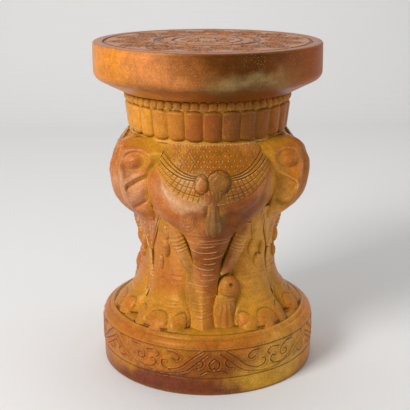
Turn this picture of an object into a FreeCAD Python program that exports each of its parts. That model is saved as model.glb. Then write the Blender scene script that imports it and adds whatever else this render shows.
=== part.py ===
import FreeCAD, Part
import math
import os

# Terracotta stool: a round seat carried by three elephants on a round plinth.
# Millimetres, +Z up. The origin is the centre of the foot, on the floor.
# The front elephant faces -Y. Angles are measured about the stool's axis from
# an elephant's own centre plane, positive towards its +X side.

# Heights of the turned forms, bottom to top
plinth_height = 66.0
ground_thickness = 14.0
body_height = 248.0
collar_height = 45.0
bead_height = 13.0
bevel_height = 18.0
seat_wall_height = 46.0

# Plinth
plinth_radius = 150.0
plinth_wall = 12.0
plinth_foot_round = 7.0
plinth_line_depth = 1.2
plinth_line_width = 2.4
scroll_band_bottom = 25.0
shoulder_round = 12.0
ground_bore_radius = 76.0

# Body core
core_foot_radius = 97.0
core_waist_radius = 86.0
core_waist_height = 85.0
core_neck_radius = 105.0
core_wall = 10.0

# Collar, bead band and seat
collar_bore_radius = 95.0
collar_foot_radius = 107.0
collar_top_radius = 112.5
flute_count = 28
flute_depth = 2.6
collar_fillet_height = 4.0
bead_radius = 114.0
bead_count = 60
bead_depth = 2.0
seat_radius = 154.0
seat_foot_radius = 117.0
seat_wall = 12.0
seat_top_round = 5.0
seat_lower_round = 8.0
seat_rim_width = 14.5
slab_thickness = 12.0
slab_ledge = 9.0
ring_groove_radii = (70.5, 64.5, 46.5)
ring_groove_width = 2.4
ring_groove_depth = 1.2
rim_groove_width = 2.0

# Curls of the slab's scroll band: repeats round the slab, then for each row
# its share of the slab's radius and its place within a repeat
curl_count = 14
curl_rows = ((0.667, 0.25), (0.824, 0.75))
curl_radius = 11.5
curl_width = 3.0

# Petals round the middle of the slab
petal_count = 8
petal_distance = 27.0
petal_radius = 8.0
petal_width = 2.4

# Elephants
elephant_names = ("front", "right", "left")
gap_names = ("front_right", "rear", "front_left")
sector = 360.0 / len(elephant_names)
root_depth = 12.0

# Head stations: drop below the collar, half width in degrees,
# stand-off from the core at the centre, stand-off at the edges
head_stations = (
    (0.0, 35.0, 6.0, 1.0),
    (20.0, 41.4, 18.3, 6.3),
    (40.0, 46.8, 26.6, 11.3),
    (60.0, 47.4, 33.0, 14.5),
    (78.0, 43.9, 36.8, 16.6),
    (92.0, 37.3, 38.6, 17.0),
    (104.0, 29.0, 38.3, 13.5),
    (116.0, 21.5, 36.4, 10.0),
    (126.0, 18.0, 34.1, 8.8),
)

# Trunk stations: share of the height from the ground to its top inside the head,
# half width, stand-off from the core, lean to one side
trunk_stations = (
    (0.0, 23.0, 22.0, 10.5),
    (0.12, 22.0, 19.0, 11.5),
    (0.29, 22.5, 19.2, 12.0),
    (0.45, 22.0, 20.6, 11.5),
    (0.57, 18.5, 22.5, 7.5),
    (0.72, 21.3, 28.0, 5.5),
    (1.0, 36.0, 34.0, 5.0),
)
trunk_overlap = 16.0
trunk_half_depth = 22.0

# Curled trunk tip and the sheaf of leaves under it
tip_angle = 13.5
tip_height = 52.0
tip_half_height = 17.0
tip_half_width = 12.5
tip_standoff = 16.5
sheaf_angle = 9.5
sheaf_height = 42.0
sheaf_top_half_width = 12.0
sheaf_foot_half_width = 19.5
sheaf_half_depth = 10.0
sheaf_standoff = 12.5

# Ear stations: drop below the collar, angle of the crease beside the face,
# angle of the rim, stand-off of the rim, stand-off on the plane between ears
ear_stations = (
    (0.5, 38.0, 58.5, 22.0, 20.0),
    (3.0, 38.5, 58.0, 28.0, 25.0),
    (8.0, 40.0, 57.5, 33.0, 30.0),
    (17.0, 42.5, 56.0, 36.6, 33.6),
    (28.0, 45.0, 54.2, 41.5, 37.5),
    (40.0, 47.0, 53.2, 43.9, 39.9),
    (53.0, 47.5, 53.0, 45.2, 41.2),
    (66.0, 46.5, 52.0, 44.8, 40.3),
    (76.0, 45.0, 51.8, 41.5, 37.0),
    (85.0, 44.0, 52.0, 35.1, 31.1),
    (93.0, 43.5, 52.0, 28.0, 25.0),
    (100.0, 44.5, 52.5, 21.7, 19.2),
    (108.0, 47.0, 54.0, 13.0, 11.0),
)
ear_crease_standoff = 9.0
ear_hollow_share = 0.11

# Tusks, both leaning the same way as the trunk
tusk_root_angle = 28.6
tusk_root_drop = 106.0
tusk_tip_angle = 10.1
tusk_lean_angle = 2.4
tusk_length_down = 71.0
tusk_root_radius = 10.0
tusk_tip_radius = 2.0
tusk_root_standoff = 5.0
tusk_tip_standoff = 12.2

# Legs and feet
foot_angle = 37.5
leg_angle = 38.0
foot_standoff = 34.0
foot_half_width = 42.0
foot_height = 17.0
instep_height = 32.0
instep_standoff = 21.0
instep_half_width = 33.0
ankle_height = 48.0
ankle_standoff = 12.5
knee_standoff = 6.0
leg_half_width = 28.0
leg_top_standoff = 15.0
leg_top_half_width = 34.0
leg_top_drop = 92.0
nail_turns = (-50.0, 0.0, 50.0)
nail_half_width = 12.0
nail_half_height = 13.0
nail_half_depth = 5.0

# Headdress and brow jewel
headdress_thickness = 2.5
headdress_margin_angle = 1.0
headdress_half_width = 75.0
headdress_side_drop = 26.0
headdress_point_drop = 71.0

# Bosses on the brow: offset from the centre plane, half width, half height
brow_bosses = ((-15.0, 9.0, 11.5), (6.5, 13.5, 13.5))
boss_half_depth = 6.0
boss_drop = 43.0
drop_half_width = 12.5
drop_half_height = 25.0
drop_half_depth = 8.0
drop_overlap = 6.0

# Shoulder cloth stations: drop below the collar, middle angle, half angle, stand-off
cloth_stations = (
    (152.0, 46.0, 6.0, 8.5),
    (122.0, 41.0, 7.0, 11.0),
    (92.0, 34.0, 7.5, 17.5),
)

# Tassels: angle, drop below the collar, half width, half height
tassel_places = ((38.5, 147.0, 6.5, 11.5), (44.0, 168.0, 5.0, 9.5))

# Pennant stations: drop below the collar, half angle, stand-off
pennant_stations = (
    (159.0, 4.0, 5.5),
    (128.0, 11.8, 9.0),
    (96.0, 20.0, 19.0),
)

# Cords below the pennants
strand_count = 3
strand_radius = 2.6
strand_spacing = 5.4
strand_foot_height = 14.0

# Levels and sizes worked out from the ones above
ground = plinth_height + ground_thickness
collar_base = ground + body_height
bead_base = collar_base + collar_height
seat_base = bead_base + bead_height
seat_wall_base = seat_base + bevel_height
seat_top = seat_wall_base + seat_wall_height
chin = collar_base - head_stations[-1][0]
slab_radius = seat_radius - seat_rim_width

FULL_TURN = 360.0
UP = FreeCAD.Vector(0, 0, 1)
ORIGIN = FreeCAD.Vector(0, 0, 0)


def polar(radius, degrees, z):
    """Point at a radius from the axis, an angle from the front and a height."""
    angle = math.radians(degrees)
    return FreeCAD.Vector(radius * math.sin(angle), -radius * math.cos(angle), z)


def outward(degrees):
    """Unit vector that points away from the axis at an angle."""
    return polar(1.0, degrees, 0.0)


def sideways(degrees):
    """Unit vector along the circle at an angle, towards larger angles."""
    return polar(1.0, degrees + 90.0, 0.0)


def core_radius(z):
    """Radius of the body core: a flared foot, a waist, and a swell to the neck."""
    waist = ground + core_waist_height
    if z < waist:
        share = min((waist - z) / core_waist_height, 1.0)
        return core_waist_radius + (core_foot_radius - core_waist_radius) * share ** 2
    share = min((z - waist) / (collar_base - waist), 1.0)
    swell = share * share * (3.0 - 2.0 * share)
    return core_waist_radius + (core_neck_radius - core_waist_radius) * swell


def rounded_wire(corners):
    """Closed wire in the XZ plane through (radius, height, round) corners."""
    edges = []
    ends = []
    for index, (r, z, round_size) in enumerate(corners):
        corner = FreeCAD.Vector(r, 0, z)
        before = corners[index - 1]
        after = corners[(index + 1) % len(corners)]
        back = (FreeCAD.Vector(before[0], 0, before[1]) - corner).normalize()
        ahead = (FreeCAD.Vector(after[0], 0, after[1]) - corner).normalize()
        if round_size == 0.0:
            ends.append((corner, corner))
            continue
        half = back.getAngle(ahead) / 2.0
        trim = round_size / math.tan(half)
        inward = (back + ahead).normalize()
        middle = corner + inward * (round_size / math.sin(half) - round_size)
        start = corner + back * trim
        end = corner + ahead * trim
        edges.append(Part.Arc(start, middle, end).toShape())
        ends.append((start, end))
    for index, (start, end) in enumerate(ends):
        next_start = ends[(index + 1) % len(ends)][0]
        if end.distanceToPoint(next_start) > 1e-6:
            edges.append(Part.LineSegment(end, next_start).toShape())
    return Part.Wire(Part.__sortEdges__(edges))


def lathe(corners):
    """Turn a rounded outline about the axis."""
    return Part.Face(rounded_wire(corners)).revolve(ORIGIN, UP, FULL_TURN)


def oval(centre, along_u, along_v, half_u, half_v):
    """Closed smooth oval with two half sizes along two directions."""
    points = []
    for step in range(12):
        angle = math.radians(step * 30.0)
        points.append(centre + along_u * (half_u * math.cos(angle)) + along_v * (half_v * math.sin(angle)))
    curve = Part.BSplineCurve()
    curve.interpolate(points, True)
    return Part.Wire(curve.toShape())


def loft(wires):
    """Smooth solid through a row of closed wires."""
    return Part.makeLoft(wires, True)


def pebble(centre, along_u, along_v, half_u, half_v, half_w):
    """Ellipsoid with three half sizes along two directions and their normal."""
    along_w = along_u.cross(along_v)
    matrix = FreeCAD.Matrix(
        along_u.x * half_u, along_v.x * half_v, along_w.x * half_w, centre.x,
        along_u.y * half_u, along_v.y * half_v, along_w.y * half_w, centre.y,
        along_u.z * half_u, along_v.z * half_v, along_w.z * half_w, centre.z,
        0, 0, 0, 1)
    return Part.makeSphere(1.0).transformGeometry(matrix)


def main_solid(shape):
    """The largest solid of a shape, without the crumbs that a cut can leave."""
    return max(shape.Solids, key=lambda solid: solid.Volume)


def cut_by(blank, *carriers):
    """A piece with the room of what carries it cut away, so that they meet face to face."""
    for carrier in carriers:
        blank = blank.cut(carrier)
    return main_solid(blank)


def turned(shape, degrees):
    """A copy turned about the stool's axis."""
    copy = shape.copy()
    copy.rotate(ORIGIN, UP, degrees)
    return copy


def mirrored(shape):
    """A copy mirrored in an elephant's centre plane."""
    return shape.mirror(ORIGIN, FreeCAD.Vector(1, 0, 0))


def export(name, *shapes):
    """Write one piece, or a group of separate solids, as a node."""
    node = shapes[0] if len(shapes) == 1 else Part.makeCompound(shapes)
    node.exportStep("parts/" + name + ".step")


def plinth_drum():
    """Ring foot with two turned lines that frame the scroll band."""
    inner = plinth_radius - plinth_wall
    drum = lathe((
        (inner, 0.0, 0.0),
        (plinth_radius, 0.0, plinth_foot_round),
        (plinth_radius, plinth_height, 0.0),
        (inner, plinth_height, 0.0)))
    for level in (scroll_band_bottom, plinth_height - plinth_line_width):
        drum = drum.cut(lathe((
            (plinth_radius - plinth_line_depth, level, 0.0),
            (plinth_radius + plinth_line_depth, level, 0.0),
            (plinth_radius + plinth_line_depth, level + plinth_line_width, 0.0),
            (plinth_radius - plinth_line_depth, level + plinth_line_width, 0.0))))
    return drum


def plinth_top():
    """Ground plate with a rounded shoulder, open in the middle."""
    return lathe((
        (ground_bore_radius, plinth_height, 0.0),
        (plinth_radius, plinth_height, 0.0),
        (plinth_radius, ground, shoulder_round),
        (ground_bore_radius, ground, 0.0)))


def core_blank(wall):
    """Solid of the core's outline drawn in by a wall thickness."""
    steps = 14
    points = []
    for step in range(steps + 1):
        z = ground + body_height * step / steps
        points.append(FreeCAD.Vector(core_radius(z) - wall, 0, z))
    side = Part.BSplineCurve()
    side.interpolate(points)
    foot = FreeCAD.Vector(0, 0, ground)
    head = FreeCAD.Vector(0, 0, collar_base)
    outline = Part.Wire([
        Part.LineSegment(foot, points[0]).toShape(),
        side.toShape(),
        Part.LineSegment(points[-1], head).toShape(),
        Part.LineSegment(head, foot).toShape()])
    return Part.Face(outline).revolve(ORIGIN, UP, FULL_TURN)


def lobed_wire(radius, depth, count, z):
    """Closed wire of equal round lobes, one of them centred on the front."""
    step = FULL_TURN / count
    edges = []
    for index in range(count):
        middle = index * step
        edges.append(Part.Arc(
            polar(radius - depth, middle - step / 2.0, z),
            polar(radius, middle, z),
            polar(radius - depth, middle + step / 2.0, z)).toShape())
    return Part.Wire(edges)


def bore(radius, bottom, top):
    """Plain cylinder about the axis, used to open a ring."""
    return Part.makeCylinder(radius, top - bottom, FreeCAD.Vector(0, 0, bottom))


def collar():
    """Ring of convex flutes that widens upwards, on a plain fillet."""
    flutes = Part.makeLoft([
        lobed_wire(collar_foot_radius, flute_depth, flute_count, collar_base + collar_fillet_height),
        lobed_wire(collar_top_radius, flute_depth, flute_count, bead_base)], True, True)
    fillet = bore(collar_foot_radius, collar_base, collar_base + collar_fillet_height)
    return main_solid(flutes.fuse(fillet).cut(bore(collar_bore_radius, collar_base, bead_base)))


def bead_band():
    """Ring of beads, each rounded to the top and the bottom."""
    middle = (bead_base + seat_base) / 2.0
    beads = Part.makeLoft([
        lobed_wire(bead_radius - bead_depth, bead_depth, bead_count, bead_base),
        lobed_wire(bead_radius, bead_depth, bead_count, middle),
        lobed_wire(bead_radius - bead_depth, bead_depth, bead_count, seat_base)], True, True)
    return main_solid(beads.cut(bore(collar_bore_radius, bead_base, seat_base)))


def seat_drum():
    """Hollow seat ring with a bevelled underside and a rebate for the slab."""
    ledge_radius = slab_radius - slab_ledge
    ledge = seat_top - slab_thickness
    return lathe((
        (collar_bore_radius, seat_base, 0.0),
        (seat_foot_radius, seat_base, 0.0),
        (seat_radius, seat_wall_base, seat_lower_round),
        (seat_radius, seat_top, seat_top_round),
        (slab_radius, seat_top, 0.0),
        (slab_radius, ledge, 0.0),
        (ledge_radius, ledge, 0.0),
        (ledge_radius, ledge - seat_wall, 0.0),
        (collar_bore_radius, seat_base + seat_wall, 0.0)))


def ring_groove(radius, width):
    """Turned line in the top of the slab."""
    return lathe((
        (radius - width / 2.0, seat_top - ring_groove_depth, 0.0),
        (radius + width / 2.0, seat_top - ring_groove_depth, 0.0),
        (radius + width / 2.0, seat_top + ring_groove_depth, 0.0),
        (radius - width / 2.0, seat_top + ring_groove_depth, 0.0)))


def round_groove(distance, degrees, radius, width):
    """Circular line in the top of the slab, about a point away from the axis."""
    centre = polar(distance, degrees, seat_top - ring_groove_depth)
    reach = 2.0 * ring_groove_depth
    outer = Part.makeCylinder(radius + width / 2.0, reach, centre)
    return outer.cut(Part.makeCylinder(radius - width / 2.0, reach, centre))


def slab_grooves():
    """Curls of the scroll band and petals of the middle, as one compound."""
    grooves = []
    for share, place in curl_rows:
        for index in range(curl_count):
            angle = (index + place) * FULL_TURN / curl_count
            grooves.append(round_groove(slab_radius * share, angle, curl_radius, curl_width))
    for index in range(petal_count):
        angle = index * FULL_TURN / petal_count
        grooves.append(round_groove(petal_distance, angle, petal_radius, petal_width))
    return Part.makeCompound(grooves)


def seat_slab():
    """Disc let into the seat drum, with turned rings, curls, petals and a line round its edge."""
    slab = bore(slab_radius, seat_top - slab_thickness, seat_top)
    for radius in ring_groove_radii:
        slab = slab.cut(ring_groove(radius, ring_groove_width))
    slab = slab.cut(ring_groove(slab_radius, rim_groove_width))
    return main_solid(slab.cut(slab_grooves()))


def head_blank(extra, margin_angle):
    """Head as a loft through level sections: an arc for the face and a straight back."""
    wires = []
    for drop, full_half_angle, standoff, edge_standoff in head_stations:
        half_angle = full_half_angle - margin_angle
        z = collar_base - drop
        base = core_radius(z)
        left = polar(base + edge_standoff + extra, -half_angle, z)
        front = polar(base + standoff + extra, 0.0, z)
        right = polar(base + edge_standoff + extra, half_angle, z)
        right_root = polar(base - root_depth, half_angle, z)
        left_root = polar(base - root_depth, -half_angle, z)
        wires.append(Part.Wire([
            Part.Arc(left, front, right).toShape(),
            Part.LineSegment(right, right_root).toShape(),
            Part.LineSegment(right_root, left_root).toShape(),
            Part.LineSegment(left_root, left).toShape()]))
    return loft(wires)


def trunk_blank():
    """Trunk as a loft of ovals from the ground up into the head, leaning to one side."""
    wires = []
    for share, half_width, standoff, lean in trunk_stations:
        z = ground + (chin + trunk_overlap - ground) * share
        centre = FreeCAD.Vector(-lean, trunk_half_depth - core_radius(z) - standoff, z)
        wires.append(oval(centre, sideways(0.0), outward(0.0), half_width, trunk_half_depth))
    return loft(wires)


def trunk_tip_blank():
    """Curled end of the trunk, an upright pebble beside it."""
    z = ground + tip_height
    centre = polar(core_radius(z) + tip_standoff - tip_half_width, tip_angle, z)
    return pebble(centre, sideways(tip_angle), UP, tip_half_width, tip_half_height, tip_half_width)


def sheaf_blank():
    """Bundle of leaves that spreads towards the ground."""
    wires = []
    for z, half_width in ((ground, sheaf_foot_half_width), (ground + sheaf_height, sheaf_top_half_width)):
        centre = polar(core_radius(z) + sheaf_standoff - sheaf_half_depth, sheaf_angle, z)
        wires.append(oval(centre, sideways(sheaf_angle), outward(sheaf_angle), half_width,
                          sheaf_half_depth))
    return Part.makeLoft(wires, True, True)


def ear_blank():
    """Right ear: a hollowed leaf from the crease beside the face out to its rim."""
    wires = []
    for drop, crease_angle, rim_angle, rim_standoff, plane_standoff in ear_stations:
        z = collar_base - drop
        base = core_radius(z)
        crease = polar(base + ear_crease_standoff, crease_angle, z)
        rim = polar(base + rim_standoff, rim_angle, z)
        facing = sideways((crease_angle + rim_angle) / 2.0)
        hollow = (crease + rim) * 0.5 + facing * (rim_standoff * ear_hollow_share)
        plane = polar(base + plane_standoff, sector / 2.0, z)
        plane_root = polar(base - root_depth, sector / 2.0, z)
        crease_root = polar(base - root_depth, crease_angle, z)
        wires.append(Part.Wire([
            Part.Arc(crease, hollow, rim).toShape(),
            Part.LineSegment(rim, plane).toShape(),
            Part.LineSegment(plane, plane_root).toShape(),
            Part.LineSegment(plane_root, crease_root).toShape(),
            Part.LineSegment(crease_root, crease).toShape()]))
    return loft(wires)


def leg_blank():
    """Right leg as a loft of ovals: a broad foot, an instep and a column."""
    top = collar_base - leg_top_drop
    ankle = ground + ankle_height
    stations = (
        (ground, foot_angle, foot_half_width, foot_standoff),
        (ground + foot_height, foot_angle, foot_half_width, foot_standoff),
        (ground + instep_height, foot_angle, instep_half_width, instep_standoff),
        (ankle, leg_angle, leg_half_width, ankle_standoff),
        ((ankle + top) / 2.0, leg_angle, leg_half_width, knee_standoff),
        (top, leg_angle, leg_top_half_width, leg_top_standoff))
    wires = []
    for z, angle, half_width, standoff in stations:
        centre = polar(core_radius(z) - root_depth, angle, z)
        wires.append(oval(centre, sideways(angle), outward(angle), half_width, root_depth + standoff))
    return loft(wires)


def sector_wedge():
    """One elephant's share of the round, between the planes to its neighbours."""
    reach = plinth_radius * 2.0
    left = polar(reach, -sector / 2.0, ground)
    right = polar(reach, sector / 2.0, ground)
    outline = Part.makePolygon([FreeCAD.Vector(0, 0, ground), left, right, FreeCAD.Vector(0, 0, ground)])
    return Part.Face(outline).extrude(FreeCAD.Vector(0, 0, body_height))


def tusk_blank(side):
    """Tusk on one side: circles along a curve that swings in faster towards the tip."""
    wires = []
    root_z = collar_base - tusk_root_drop
    steps = 5
    for step in range(steps + 1):
        share = step / steps
        z = root_z - tusk_length_down * share
        swing = share * share
        spread = tusk_root_angle + (tusk_tip_angle - tusk_root_angle) * swing
        angle = side * spread - tusk_lean_angle
        radius = tusk_root_radius + (tusk_tip_radius - tusk_root_radius) * swing
        standoff = tusk_root_standoff + (tusk_tip_standoff - tusk_root_standoff) * swing
        centre = polar(core_radius(z) + standoff, angle, z)
        wires.append(oval(centre, sideways(angle), outward(angle), radius, radius))
    return loft(wires)


def nail_blanks():
    """Toenails of the right foot, set round its front edge on the ground."""
    half_depth = root_depth + foot_standoff
    centre = polar(core_radius(ground) - root_depth, foot_angle, ground)
    nails = []
    for turn in nail_turns:
        angle = math.radians(turn)
        spot = centre + sideways(foot_angle) * (foot_half_width * math.sin(angle))
        spot = spot + outward(foot_angle) * (half_depth * math.cos(angle))
        facing = foot_angle + turn
        nails.append(pebble(spot, sideways(facing), UP, nail_half_width, nail_half_height, nail_half_depth))
    return nails


def front_prism(outline):
    """Prism of an outline drawn on the XZ plane, reaching out to the front."""
    return Part.Face(outline).extrude(FreeCAD.Vector(0, -2.0 * plinth_radius, 0))


def headdress_blank():
    """Skin of the forehead above a hanging curve."""
    side = collar_base - headdress_side_drop
    left = FreeCAD.Vector(-headdress_half_width, 0, side)
    right = FreeCAD.Vector(headdress_half_width, 0, side)
    point = FreeCAD.Vector(0, 0, collar_base - headdress_point_drop)
    right_top = FreeCAD.Vector(headdress_half_width, 0, collar_base)
    left_top = FreeCAD.Vector(-headdress_half_width, 0, collar_base)
    outline = Part.Wire([
        Part.Arc(left, point, right).toShape(),
        Part.LineSegment(right, right_top).toShape(),
        Part.LineSegment(right_top, left_top).toShape(),
        Part.LineSegment(left_top, left).toShape()])
    return head_blank(headdress_thickness, headdress_margin_angle).common(front_prism(outline))


def head_front(z):
    """Radius of the face on the centre plane, by straight lines between stations."""
    drop = collar_base - z
    for upper, lower in zip(head_stations, head_stations[1:]):
        if drop <= lower[0]:
            share = (drop - upper[0]) / (lower[0] - upper[0])
            return core_radius(z) + upper[2] + (lower[2] - upper[2]) * share
    return core_radius(z) + head_stations[-1][2]


def jewel_blanks():
    """Two bosses on the brow and a drop that lies on the face below them."""
    z = collar_base - boss_drop
    radius = head_front(z) + headdress_thickness
    blanks = []
    for offset, half_width, half_height in brow_bosses:
        centre = FreeCAD.Vector(offset, -radius, z)
        blanks.append(pebble(centre, sideways(0.0), UP, half_width, half_height, boss_half_depth))
    middle = collar_base - headdress_point_drop - drop_half_height + drop_overlap
    high = middle + drop_half_height
    low = middle - drop_half_height
    lower_end = FreeCAD.Vector(0, -head_front(low), low)
    along_face = (FreeCAD.Vector(0, -head_front(high), high) - lower_end).normalize()
    centre = FreeCAD.Vector(0, -head_front(middle), middle)
    blanks.append(pebble(centre, sideways(0.0), along_face, drop_half_width, drop_half_height,
                         drop_half_depth))
    return blanks


def hanging_cloth(stations):
    """Cloth round the body through level sections, each an arc about a middle angle."""
    wires = []
    for drop, middle, half, standoff in stations:
        z = collar_base - drop
        outer = core_radius(z) + standoff
        inner = core_radius(z) - root_depth
        left = middle - half
        right = middle + half
        wires.append(Part.Wire([
            Part.Arc(polar(outer, left, z), polar(outer, middle, z), polar(outer, right, z)).toShape(),
            Part.LineSegment(polar(outer, right, z), polar(inner, right, z)).toShape(),
            Part.LineSegment(polar(inner, right, z), polar(inner, left, z)).toShape(),
            Part.LineSegment(polar(inner, left, z), polar(outer, left, z)).toShape()]))
    return Part.makeLoft(wires, True, True)


def tassel_blanks():
    """Right tassels, small drops that lie on the leg."""
    blanks = []
    for angle, drop, half_width, half_height in tassel_places:
        z = collar_base - drop
        centre = polar(core_radius(z) + knee_standoff, angle, z)
        blanks.append(pebble(centre, sideways(angle), UP, half_width, half_height, half_width))
    return blanks


def pennant_blank():
    """Netted cloth that hangs on the core between two elephants."""
    return hanging_cloth([(drop, sector / 2.0, half, standoff)
                          for drop, half, standoff in pennant_stations])


def cord_blanks():
    """Strands that hang from the pennant's point down between the feet."""
    top = collar_base - pennant_stations[0][0]
    bottom = ground + strand_foot_height
    strands = []
    for index in range(strand_count):
        offset = (index - (strand_count - 1) / 2.0) * strand_spacing
        wires = []
        steps = 4
        for step in range(steps + 1):
            z = top + (bottom - top) * step / steps
            centre = polar(core_radius(z), sector / 2.0, z) + sideways(sector / 2.0) * offset
            wires.append(oval(centre, sideways(sector / 2.0), outward(sector / 2.0), strand_radius,
                              strand_radius))
        strands.append(loft(wires))
    return strands


def elephant(core):
    """Pieces of the front elephant, each cut by the ones that carry it."""
    wedge = sector_wedge()
    head = cut_by(head_blank(0.0, 0.0), core)
    trunk = cut_by(trunk_blank(), core, head)
    right_ear = cut_by(ear_blank(), core, head)
    right_leg = cut_by(leg_blank().common(wedge), core, head, trunk, right_ear)
    left_ear = mirrored(right_ear)
    left_leg = cut_by(mirrored(leg_blank()).common(wedge), core, head, trunk, left_ear)
    body = (core, head, trunk, right_ear, left_ear, right_leg, left_leg)
    right_tusk = cut_by(tusk_blank(1.0), *body)
    left_tusk = cut_by(tusk_blank(-1.0), *body)
    tip = cut_by(trunk_tip_blank(), *body)
    sheaf = cut_by(sheaf_blank(), tip, *body)
    headdress = cut_by(headdress_blank(), core, head)
    jewels = [cut_by(blank, head, headdress) for blank in jewel_blanks()]
    jewels[1] = cut_by(jewels[1], jewels[0])
    jewels[2] = cut_by(jewels[2], jewels[0], jewels[1])
    cloth = hanging_cloth(cloth_stations)
    cloths = [cut_by(blank, right_tusk, left_tusk, *body) for blank in (cloth, mirrored(cloth))]
    tassels = [cut_by(blank, right_tusk, left_tusk, *body, *cloths)
               for right in tassel_blanks() for blank in (right, mirrored(right))]
    nails = [cut_by(blank.common(wedge), trunk, core, right_leg, left_leg)
             for right in nail_blanks() for blank in (right, mirrored(right))]
    return {
        "head": [head],
        "trunk": [trunk],
        "trunk_tip": [tip],
        "sheaf": [sheaf],
        "left_ear": [left_ear],
        "right_ear": [right_ear],
        "left_leg": [left_leg],
        "right_leg": [right_leg],
        "tusks": [left_tusk, right_tusk],
        "toenails": nails,
        "headdress": [headdress],
        "brow_jewel": jewels,
        "shoulder_cloths": cloths,
        "tassels": tassels,
    }


def main():
    os.makedirs("parts", exist_ok=True)
    core = core_blank(0.0)
    export("plinth_drum", plinth_drum())
    export("plinth_top", plinth_top())
    export("body_shell", core.cut(core_blank(core_wall)))
    export("collar", collar())
    export("bead_band", bead_band())
    export("seat_drum", seat_drum())
    export("seat_slab", seat_slab())
    pieces = elephant(core)
    for index, name in enumerate(elephant_names):
        for piece, solids in pieces.items():
            export(name + "_" + piece, *[turned(solid, index * sector) for solid in solids])
    carriers = [core]
    for piece in ("left_ear", "left_leg", "shoulder_cloths"):
        carriers.extend(turned(solid, sector) for solid in pieces[piece])
    for piece in ("right_ear", "right_leg", "shoulder_cloths"):
        carriers.extend(pieces[piece])
    flag = cut_by(pennant_blank(), *carriers)
    cords = [cut_by(blank, flag, *carriers) for blank in cord_blanks()]
    for index, name in enumerate(gap_names):
        export(name + "_pennant", turned(flag, index * sector))
        export(name + "_cord", *[turned(cord, index * sector) for cord in cords])


main()
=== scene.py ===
import math

import bpy
import numpy as np
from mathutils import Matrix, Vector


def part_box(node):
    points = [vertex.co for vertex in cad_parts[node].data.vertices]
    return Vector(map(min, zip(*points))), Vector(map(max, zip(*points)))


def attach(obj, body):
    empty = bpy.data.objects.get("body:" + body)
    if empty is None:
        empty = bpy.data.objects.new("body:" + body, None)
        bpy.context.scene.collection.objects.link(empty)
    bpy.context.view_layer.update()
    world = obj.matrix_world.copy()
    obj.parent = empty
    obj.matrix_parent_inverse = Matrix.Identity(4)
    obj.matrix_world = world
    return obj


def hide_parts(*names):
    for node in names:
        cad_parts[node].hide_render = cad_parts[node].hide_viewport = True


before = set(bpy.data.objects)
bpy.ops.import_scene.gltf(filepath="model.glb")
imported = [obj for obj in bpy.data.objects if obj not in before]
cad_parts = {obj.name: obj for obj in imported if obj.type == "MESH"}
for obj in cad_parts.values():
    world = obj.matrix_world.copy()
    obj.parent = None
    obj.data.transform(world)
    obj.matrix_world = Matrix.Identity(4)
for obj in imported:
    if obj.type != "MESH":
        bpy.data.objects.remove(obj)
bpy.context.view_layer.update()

# Terracotta stool with three elephants. All shapes are worked out in millimetres and
# put into the meshes in metres. The front elephant faces -Y, +X is to the right.
MM = 0.001
TURN = 2 * math.pi
ELEPHANTS = ("front", "right", "left")
GAPS = ("front_right", "rear", "front_left")
SECTOR = 360 / len(ELEPHANTS)
MIDWAY = SECTOR / 2


def level(node, corner, axis=2):
    """One coordinate of a node's box in the frame, in millimetres."""
    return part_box(node)[corner][axis] / MM


FLOOR = level("plinth_drum", 0)
PLINTH_TOP = level("plinth_drum", 1)
GROUND = level("plinth_top", 1)
COLLAR_BASE = level("collar", 0)
BEAD_BASE = level("bead_band", 0)
SEAT_BASE = level("seat_drum", 0)
SEAT_TOP = level("seat_drum", 1)
PLINTH_R = level("plinth_drum", 1, 0)
SEAT_R = level("seat_drum", 1, 0)
SLAB_R = level("seat_slab", 1, 0)


# Small tools for whole arrays

def through(at, knots, values):
    """Smooth line through points: a cubic between neighbours, with slopes averaged at the knots."""
    knots = np.asarray(knots, float)
    values = np.asarray(values, float)
    slopes = np.gradient(values, knots)
    i = np.clip(np.searchsorted(knots, at) - 1, 0, len(knots) - 2)
    h = knots[i + 1] - knots[i]
    t = np.clip((at - knots[i]) / h, 0, 1)
    rise = values[i] * (1 + 2 * t) * (1 - t) ** 2 + values[i + 1] * t * t * (3 - 2 * t)
    return rise + h * slopes[i] * t * (1 - t) ** 2 - h * slopes[i + 1] * t * t * (1 - t)


def ease(low, high, value):
    """0 below low, 1 above high, and a smooth step between."""
    t = np.clip((value - low) / (high - low), 0, 1)
    return t * t * (3 - 2 * t)


def bump(distance, width):
    """1 at distance 0, falling smoothly to 0 at the width."""
    return ease(width, 0, np.abs(distance))


def between(first, second, share):
    """Value from the first to the second, by a share from 0 to 1."""
    return first + (second - first) * share


def hill(distance, width):
    """Bell curve of a distance: 1 at 0, about a third at the width."""
    return np.exp(-(distance / width) ** 2)


def signed_power(value, power):
    """Power of the size of a value, with its sign kept."""
    return np.sign(value) * np.abs(value) ** power


def path_through(at, knots, *values):
    """Points of a smooth line: each coordinate goes through its own values."""
    return np.stack([through(at, knots, v) for v in values], -1)


def polar(radius, degrees, z):
    """Points from radius, angle off the front and height."""
    angle = np.radians(degrees)
    radius, angle, z = np.broadcast_arrays(np.asarray(radius, float), angle, np.asarray(z, float))
    return np.stack([radius * np.sin(angle), -radius * np.cos(angle), z], axis=-1)


def normals_of(grid, wrap_columns=True):
    """Unit normals of a grid of points, from the cross product of its two directions."""
    if wrap_columns:
        along = np.roll(grid, -1, 1) - np.roll(grid, 1, 1)
    else:
        along = np.gradient(grid, axis=1)
    across = np.gradient(grid, axis=0)
    normal = np.cross(along, across)
    size = np.linalg.norm(normal, axis=-1, keepdims=True)
    return normal / np.maximum(size, 1e-9)


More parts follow.
